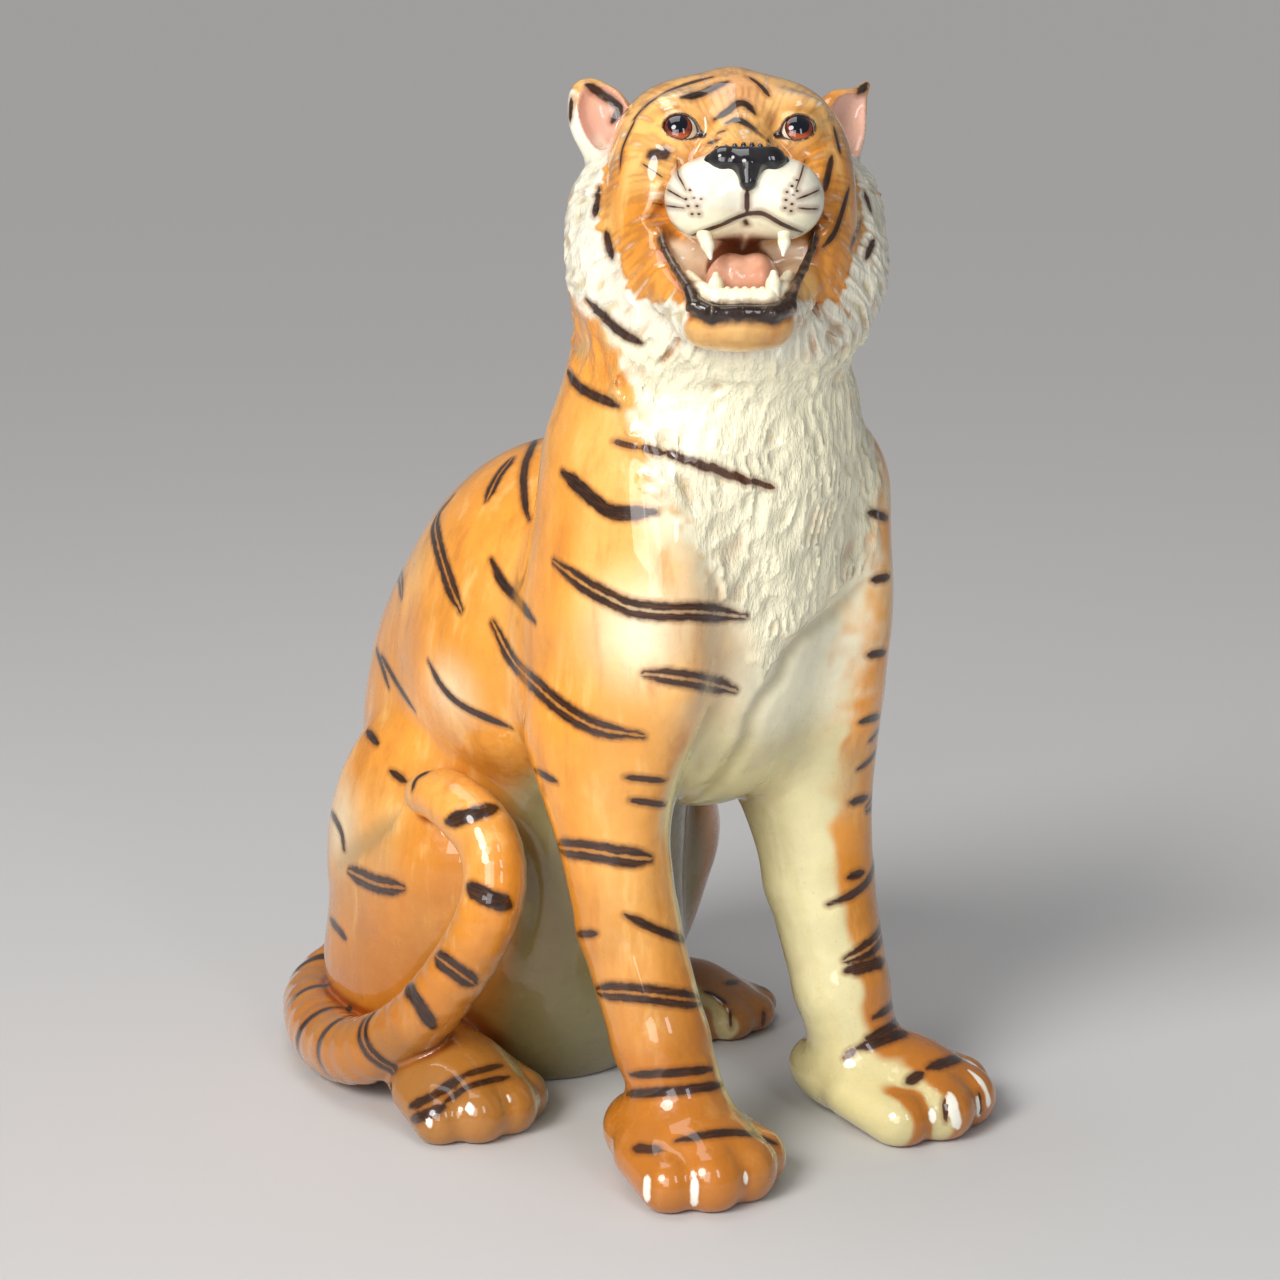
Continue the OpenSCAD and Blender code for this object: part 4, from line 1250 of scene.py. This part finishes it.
def tail_ring(at):
    """A wavy line round the tail."""
    i = int(at)
    start, end = np.array(TAIL[i:i + 2], float)
    along = (end - start) / np.linalg.norm(end - start)
    across = np.cross(along, [0, 0, 1.0])
    across /= np.linalg.norm(across)
    turns = np.linspace(0, 2 * np.pi, 40)[:, None]
    r = np.interp(at, np.arange(len(TAIL_R)), TAIL_R)
    ring = start + (at - i) * (end - start) + r * (np.cos(turns) * across + np.sin(turns) * np.cross(along, across))
    return (ring + along * np.sin(turns * 2 + at) * 4).astype(F)


def with_facing(rows):
    """Strokes as points on the clay, the way the clay faces there, half widths of the stroke and of its paler
    middle in millimetres, tone and tip."""
    rows = [r for r in rows if len(r[0]) > 1]
    faces = in_one(lambda c: (normals(tiger, c),), [r[0] for r in rows])
    return [(pts, facing, *rest) for (pts, *rest), (facing,) in zip(rows, faces)]


def fine_strokes():
    """The whiskers' roots and dots, see with_facing()."""
    lines = [even(np.array(line).reshape(-1, 2), 3) for line in FINE]
    lines += [np.array([(x - 0.5, y), (x + 0.5, y)]) for x, y in DOTS]
    found = in_one(trace, lines)
    rows = [(pts[hit], FINE_HALF, 0, 0.1, 0.5) for pts, hit in found[:len(FINE)]]
    return with_facing(rows + [(pts[hit], DOT_HALF, 0, 0.1, 1.0) for pts, hit in found[len(FINE):]])


CLEAR = 12.0  # farthest distance to a stroke that is worked out
LIP_BAND = (2.2, 0.9)


def lip_ink(p, ink, stroke, widths):
    """The black band on the lower lip."""
    m = fold(to_mouth(to_head(p)))
    band = np.minimum(lip(m) - np.interp(m[:, 2], [-122, -108], LIP_BAND).astype(F), CLEAR)
    m = band < ink
    ink[m] = band[m]
    stroke[m] = 0
    widths[m, :2] = (5, 0)


def brush(p, n, strokes):
    """Distance to the edge of the nearest stroke (negative inside); along it, across it and its tone; its widths."""
    ink = np.full(len(p), CLEAR, F)
    data = np.zeros((len(p), 5), F)
    for pts, facing, half, gap, tone, tip in strokes:
        reach = half + CLEAR
        m = np.flatnonzero(((p > pts.min(0) - reach) & (p < pts.max(0) + reach)).all(1))
        if not len(m):
            continue
        run = np.concatenate([[0], np.cumsum(np.linalg.norm(np.diff(pts, axis=0), axis=1))])
        t = run / max(run[-1], 1e-3)
        wide = half * (tip + (1 - tip) * smooth(0, 0.35, np.minimum(t, 1 - t) * 2))
        best = np.full(len(m), CLEAR, F)
        row = np.zeros((len(m), 5), F)
        for i in range(len(pts) - 1):
            a, ab = pts[i], pts[i + 1] - pts[i]
            q = p[m] - a
            h = np.clip(q @ ab / max(float(ab @ ab), 1e-6), 0, 1)
            off = q - h[:, None] * ab
            d = np.sqrt((off * off).sum(1))
            e = d - (wide[i] + h * (wide[i + 1] - wide[i]))
            e = np.where(n[m] @ facing[i] > 0.1, e, CLEAR)
            c = e < best
            best[c] = e[c]
            sign = np.sign(np.cross(facing[i], ab) @ off[c].T)
            along = run[i] + h[c] * (run[i + 1] - run[i])
            row[c] = np.stack([along, sign * d[c]] + [np.full(c.sum(), v) for v in (tone, half, gap)], 1)
        c = best < ink[m]
        ink[m[c]] = best[c]
        data[m[c]] = row[c]
    return ink, data[:, :3], np.stack([data[:, 3], data[:, 4], np.zeros(len(p), F)], 1)


def refine(verts, tris, want):
    """Splits the triangle edges that have a wanted end, without cracks."""
    e = np.sort(tris[:, [[0, 1], [1, 2], [2, 0]]], 2).reshape(-1, 2)
    uniq, inverse = np.unique(e, axis=0, return_inverse=True)
    split = want[uniq].any(1)
    new = np.full(len(uniq), -1)
    new[split] = len(verts) + np.arange(split.sum())
    mids = new[inverse.reshape(-1)].reshape(-1, 3)
    count = (mids >= 0).sum(1)
    out = [tris[count == 0]]
    for k in (1, 2, 3):
        m = count == k
        lead = (mids[m] < 0).argmin(1) if k == 1 else ((mids[m] < 0).argmax(1) + 1) % 3 if k == 2 else 0 * mids[m, 0]
        rows = np.arange(m.sum())
        a, b, c = (tris[m][rows, (lead + i) % 3] for i in range(3))
        ab, bc, ca = (mids[m][rows, (lead + i) % 3] for i in range(3))
        if k == 1:
            parts = [(a, ab, c), (ab, b, c)]
        elif k == 2:
            parts = [(ab, b, bc), (a, ab, bc), (a, bc, c)]
        else:
            parts = [(a, ab, ca), (ab, b, bc), (ca, bc, c), (ab, bc, ca)]
        out += [np.stack(t, 1) for t in parts]
    return np.concatenate([verts, verts[uniq[split]].mean(1)]), np.concatenate(out)


# Materials

class Nodes:
    """Short hand for a material's node tree."""

    def __init__(self, name):
        self.mat = bpy.data.materials.new(name)
        self.mat.use_nodes = True
        self.tree = self.mat.node_tree
        self.bsdf = self.tree.nodes["Principled BSDF"]

    def add(self, kind, inputs=(), **props):
        node = self.tree.nodes.new(kind)
        for k, v in props.items():
            setattr(node, k, v)
        for key, v in dict(inputs).items():
            self.set(node.inputs[key], v)
        return node

    def set(self, socket, v):
        if isinstance(v, bpy.types.NodeSocket):
            self.tree.links.new(v, socket)
        else:
            socket.default_value = v

    def maths(self, op, a, b=0.0, c=0.0):
        return self.add("ShaderNodeMath", {0: a, 1: b, 2: c}, operation=op).outputs[0]

    def ramp(self, x, lo, hi, to_lo=0.0, to_hi=1.0):
        return self.add("ShaderNodeMapRange", {"Value": x, "From Min": lo, "From Max": hi, "To Min": to_lo,
                                               "To Max": to_hi}, interpolation_type="SMOOTHSTEP").outputs[0]

    def mixed(self, t, a, b, blend="MIX"):
        node = self.add("ShaderNodeMix", data_type="RGBA", blend_type=blend)
        self.set(node.inputs[0], t)
        self.set(node.inputs[6], a)
        self.set(node.inputs[7], b)
        return node.outputs[2]

    def cloud(self, scale, detail=2.0, where=None, rough=0.5):
        node = self.add("ShaderNodeTexNoise", {"Scale": scale, "Detail": detail, "Roughness": rough})
        if where is None:
            where = self.add("ShaderNodeTexCoord").outputs["Object"]
        self.tree.links.new(where, node.inputs["Vector"])
        return node.outputs[0]

    def drawn_out(self, share):
        """Places for a cloud that is drawn out upwards."""
        where = self.add("ShaderNodeTexCoord").outputs["Object"]
        return self.add("ShaderNodeMapping", {"Vector": where, "Scale": (1, 1, share)}).outputs[0]

    def attribute(self, name):
        return self.add("ShaderNodeAttribute", attribute_name=name)

    def split(self, name):
        """The three values of a vector attribute."""
        return self.add("ShaderNodeSeparateXYZ", {0: self.attribute(name).outputs["Vector"]}).outputs

    def length(self, a, b):
        squares = [self.maths("MULTIPLY", v, v) for v in (a, b)]
        return self.maths("SQRT", self.maths("ADD", *squares))

    def bump(self, height, strength, distance, under=None):
        node = self.add("ShaderNodeBump", {"Height": height, "Strength": strength, "Distance": distance})
        if under is not None:
            self.tree.links.new(under, node.inputs["Normal"])
        return node.outputs[0]

    def glaze(self, colour, rough, normal, coat=1.0):
        self.set(self.bsdf.inputs["Base Color"], colour)
        self.set(self.bsdf.inputs["Roughness"], rough)
        self.set(self.bsdf.inputs["Normal"], normal)
        self.bsdf.inputs["Coat Weight"].default_value = coat
        self.bsdf.inputs["Coat Roughness"].default_value = 0.025
        self.bsdf.inputs["Specular IOR Level"].default_value = 0.25
        return self.mat


def rgba(r, g, b):
    return (*[float(v) for v in srgb(r, g, b)], 1.0)


def hair_bump(n, share, under):
    """Fine hair pressed into the furry parts, finer than the mesh."""
    return n.bump(n.cloud(330.0, 3.0, n.drawn_out(0.4), 0.6), n.maths("MULTIPLY", share, 0.7), 0.003, under)


def glaze_bump(n, waves=0.5):
    """Unevenness of the clay under the glaze, in three sizes."""
    low = n.bump(n.cloud(28.0, 2.0), waves, 0.004)
    mid = n.bump(n.cloud(95.0, 2.0), waves * 0.9, 0.0016, low)
    return n.bump(n.cloud(700.0, 2.0), 0.05, 0.0006, mid)


def tiger_glaze():
    """The painted glaze: base colours from the points, washes and specks, and brush strokes with rough edges."""
    n = Nodes("tiger_glaze")
    paint = n.attribute("paint").outputs["Color"]
    ink = n.attribute("ink").outputs["Fac"]
    stroke = n.split("stroke")  # along, across, tone
    widths = n.split("widths")  # half widths of the stroke and its middle, share of fur
    hairs = {i: n.maths("MULTIPLY", stroke[i], scale) for i, scale in enumerate((0.07, 1.1, 9.0))}
    hairs = n.add("ShaderNodeCombineXYZ", hairs).outputs[0]
    bristle = n.cloud(1.0, 2.0, hairs)
    wobble = n.cloud(170.0, 3.0)
    wavy, hairy = n.ramp(widths[0], 0.8, 6.0, 0.35, 1.5), n.ramp(widths[0], 0.8, 6.0, 0.2, 1.6)
    rough_edge = n.maths("MULTIPLY", wavy, n.maths("MULTIPLY_ADD", wobble, 2.0, -1.0))
    rough_edge = n.maths("MULTIPLY_ADD", hairy, n.maths("SUBTRACT", bristle, 0.5), rough_edge)
    edge = n.maths("ADD", ink, rough_edge)
    fade = n.ramp(widths[0], 0.8, 5.0, 0.45, 1.5)
    dark = n.ramp(n.maths("DIVIDE", edge, fade), 1.0, -1.0)
    claw = n.ramp(stroke[2], 1.3, 1.6)
    halo = n.maths("MULTIPLY", n.ramp(edge, 4.5, 0.2), n.ramp(stroke[2], 1.3, 1.6, 0.5, 0.15))
    patchy = n.ramp(n.cloud(16.0, 3.0), 0.3, 0.75, 0.86, 1.08)
    patches = n.add("ShaderNodeCombineColor", dict.fromkeys(range(3), patchy)).outputs[0]
    base = n.mixed(1.0, paint, patches, "MULTIPLY")
    parts = n.add("ShaderNodeSeparateColor", {0: paint}).outputs
    orange = n.ramp(n.maths("SUBTRACT", parts[0], parts[2]), 0.4, 0.65)
    wash = n.cloud(44.0, 4.0, n.drawn_out(0.22), 0.6)
    base = n.mixed(n.maths("MULTIPLY", orange, n.ramp(wash, 0.5, 0.72, 0.0, 0.5)), base, rgba(190, 112, 36))
    base = n.mixed(n.maths("MULTIPLY", orange, n.ramp(wash, 0.48, 0.28, 0.0, 0.45)), base, rgba(252, 206, 130))
    speck = n.ramp(n.cloud(420.0, 3.0), 0.62, 0.8, 0.0, 0.25)
    base = n.mixed(speck, base, rgba(150, 96, 44))
    base = n.mixed(halo, base, rgba(122, 66, 20))
    core = n.mixed(n.ramp(bristle, 0.4, 0.8), rgba(24, 17, 14), rgba(84, 46, 16))
    core = n.mixed(n.maths("MULTIPLY", stroke[2], 0.8), core, rgba(104, 56, 20))
    off = n.maths("SUBTRACT", n.maths("ABSOLUTE", stroke[1]), widths[1])
    middle = n.ramp(n.maths("ADD", off, rough_edge), 0.9, -0.9)
    middle = n.maths("MULTIPLY", middle, n.ramp(widths[1], 0.2, 0.6, 0.0, 0.9))
    core = n.mixed(middle, core, base)
    core = n.mixed(claw, core, rgba(240, 236, 222))
    colour = n.mixed(dark, base, core)
    rough = n.ramp(n.cloud(60.0, 3.0), 0.3, 0.7, 0.25, 0.42)
    return n.glaze(colour, rough, hair_bump(n, widths[2], glaze_bump(n)))


def plain_glaze(name, light, deep, scale, rough=(0.08, 0.18), waves=0.25, coat=0.6):
    """A glaze of one colour that is deeper in patches."""
    n = Nodes(name)
    tone = n.ramp(n.cloud(scale, 3.0), 0.3, 0.7)
    colour = n.mixed(tone, rgba(*light), rgba(*deep))
    return n.glaze(colour, n.ramp(n.cloud(scale * 2.3, 3.0), 0.3, 0.7, *rough), glaze_bump(n, waves), coat)


def eye_glaze():
    """Eyeball, dark ring, iris and a pupil that looks up a little, by distance from the line of sight."""
    n = Nodes("eye_glaze")
    gaze = n.split("gaze")
    r = n.length(gaze[0], gaze[1])
    r_pupil = n.length(gaze[0], n.maths("SUBTRACT", gaze[1], 2.0))
    rays = n.cloud(260.0, 4.0)
    iris = n.mixed(n.ramp(rays, 0.3, 0.7), rgba(126, 52, 26), rgba(84, 28, 14))
    iris = n.mixed(n.ramp(gaze[1], -2.0, -8.0), iris, rgba(172, 84, 44))
    white = n.mixed(n.ramp(n.cloud(120.0, 3.0), 0.35, 0.7), rgba(226, 212, 190), rgba(196, 170, 144))
    colour = n.mixed(n.ramp(r, 10.8, 10.2), white, rgba(34, 16, 10))
    colour = n.mixed(n.ramp(r, 10.2, 9.2), colour, iris)
    colour = n.mixed(n.ramp(r_pupil, 7.7, 7.0), colour, rgba(8, 12, 24))
    rough = n.ramp(n.cloud(200.0), 0.3, 0.7, 0.03, 0.08)
    return n.glaze(colour, rough, n.bump(n.cloud(150.0), 0.06, 0.001), 1.0)


# Small face pieces

def small_skin(field, low, high, step=SMALL_STEP):
    """Points, triangles and normals of a small piece given in the head's frame."""
    verts, quads = skin(field, low, high, step)
    verts = settle(field, verts)
    return verts, triangles(verts, quads), normals(field, verts)


def nose(q):
    f = fold(q)
    d = chain(f, [(0, -118, -25), (17, -115, -24), (24, -110, -23.5)], [9.5, 9, 6.5], 4)
    d = join(d, limb(q, (0, -120, -31), (-0.5, -119, -42), 10.5, 6.5), 6)
    for x in (3, 9, 15, 21):
        d = join(d, ball(f, (x, -119.5 + x * 0.25, -15.6 - x * 0.05), (2.3, 4, 3.4)), 1.2)
    return carve(d, ball(f, (14, -128, -35), (6.5, 8, 4.2), turn(roll=-28)), 2)


def tongue(q):
    t = q.copy()
    t[:, 0] = np.maximum(np.abs(q[:, 0] - 1) - 9, 0)
    d = ball(t, (0, -53, -92), (15, 27, 20))
    d = join(d, limb(t, (0, -52, -94), (0, -16, -90), 15, 13), 12)
    dent = np.abs(q[:, 0] - 1) / F(5)
    return d + F(1.6) * np.exp(-dent * dent) * smooth(-104, -90, q[:, 2])


def fang(q, base, tip, r):
    b, t = np.asarray(base, float), np.asarray(tip, float)
    mid = (b + t) / 2 + np.array([0, -1.6, 0])
    return chain(q, [b, mid, t], [r, r * 0.8, r * (0.24 if t[2] < b[2] else 0.42)], 2)


FANG_ROOM = 3
FANGS = {
    "upper_right_fang": ((-30, -94, -72), (-26.5, -97, -90.5), 5.7),
    "upper_left_fang": ((27, -94, -70), (25, -97, -88), 5.3),
    "lower_right_fang": ((-22.5, -84, -113), (-22, -87, -99.5), 6.4),
    "lower_left_fang": ((18, -84, -113), (19, -87, -98), 6.4),
}


INCISOR_X = [-14.5 + 6.2 * i for i in range(5)]


def incisors(q):
    return melt((limb(q, (x, -88, -116), (x, -90, -111.5), 3.3, 2.6) for x in INCISOR_X), 1)


IRIS_OUT, IRIS_R, EYE_BOX = 6.2, 12.3, 22
BACK_OF_EYE = 60  # keeps the iris off the far side of the ball


def eye_mesh(side):
    """An eye with a domed iris; its attribute gives millimetres from the line of sight."""
    c = EYE * np.array([side, 1, 1], F)
    look = np.array([side * 0.12 - 0.05, -1.0, 0.0])
    look /= np.linalg.norm(look)
    u = np.cross(look, [0, 0, 1.0])
    u /= np.linalg.norm(u)
    v = np.cross(u, look)

    def field(q):
        r = q - c
        d = np.linalg.norm(r, axis=1) - EYE_R
        return join(d, np.linalg.norm(r - look * IRIS_OUT, axis=1) - F(IRIS_R), 3)

    verts, tris, normal = small_skin(field, c - EYE_BOX, c + EYE_BOX)
    r = verts - c
    gaze = np.stack([r @ u, r @ v, r @ look], 1)
    gaze[:, :2] += np.where(gaze[:, 2:] < 0, BACK_OF_EYE, 0)
    return verts, tris, normal, gaze


make_camera()
make_stage()

glaze = tiger_glaze()
black = plain_glaze("black_glaze", (22, 20, 22), (40, 38, 40), 90.0, (0.05, 0.14), 0.35, 1.0)
pink = plain_glaze("pink_glaze", (226, 172, 144), (208, 146, 116), 70.0)
ivory = plain_glaze("tooth_glaze", (246, 240, 218), (232, 218, 180), 110.0)
clay = plain_glaze("bare_clay", (214, 202, 178), (186, 170, 142), 120.0, (0.7, 0.9), 0.3, 0.0)
painted_eye = eye_glaze()

def all_body(p):
    return {name: near(p, part, low, high) for name, (part, low, high, _) in BODY_PARTS.items()}


strokes = all_strokes()
fine = fine_strokes()
FINE_REACH = (2.6, 1.6)  # the mesh is split this near to the fine strokes, twice


def sculpt_skin(low, high, step, keep_above, distances):
    """The skin above or below the neck plane, shared out between its pieces."""
    verts, quads = skin(tiger, low, high, step)
    tris = triangles(verts, quads)
    if keep_above:
        for reach in FINE_REACH:
            want = brush(verts, normals(tiger, verts), fine)[0] < reach
            verts, tris = refine(verts, tris, want)
        verts = verts.astype(F)
    value = above_neck(verts) * (-1 if keep_above else 1)
    verts, tris, side = clip(verts, tris, value)
    verts, tris, _ = used(verts, tris[side < 0])
    verts, tris, owner, names = share_out(verts, tris, distances)
    verts = settle(tiger, verts)
    return verts, tris, owner, names, normals(tiger, verts)


for box, step, above, distances in (
    (((-225, -425, -6), (232, 225, 740)), BODY_STEP, False, all_body),
    (((-185, -425, 580), (150, -130, 850)), HEAD_STEP, True, head_parts),
):
    verts, tris, owner, names, normal = sculpt_skin(*box, step, above, distances)
    colour = np.concatenate([base_paint(verts, normal), np.ones((len(verts), 1), F)], 1)
    ink, stroke, widths = brush(verts, normal, strokes + (fine if above else []))
    furry = may_be_furry(verts)
    widths[furry, 2] = fur(verts[furry])[1]
    if above:
        lip_ink(verts, ink, stroke, widths)
    for i, name in enumerate(names):
        pv, pt, keep = used(verts, tris[owner == i])
        values = {"paint": colour[keep], "ink": ink[keep], "stroke": stroke[keep], "widths": widths[keep]}
        place(make_mesh(name + "_clay", pv, pt, normal[keep], values), name, glaze)


def put_on_head(node, material, verts, tris, normal, values=None):
    """Places a piece that is given in the head's frame."""
    place(make_mesh(node + "_clay", from_head(verts), tris, normal @ HEAD_TURN.T, values), node, material)


def face_piece(node, field, low, high, material):
    put_on_head(node, material, *small_skin(field, low, high))


face_piece("nose_pad", nose, (-42, -142, -64), (42, -90, -4), black)
face_piece("tongue", tongue, (-34, -104, -134), (34, 12, -60), pink)
for node, (base, tip, r) in FANGS.items():
    low, high = np.minimum(base, tip) - r - FANG_ROOM, np.maximum(base, tip) + r + FANG_ROOM
    face_piece(node, lambda q: fang(q, base, tip, r), low, high, ivory)
face_piece("lower_incisors", incisors, (-24, -100, -124), (18, -80, -100), ivory)
for side in (RIGHT, LEFT):
    *eye, gaze = eye_mesh(side)
    put_on_head(NAMED[side] + "_eye", painted_eye, *eye, {"gaze": gaze})
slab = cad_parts["base_slab"]
slab.data.materials.clear()
slab.data.materials.append(clay)
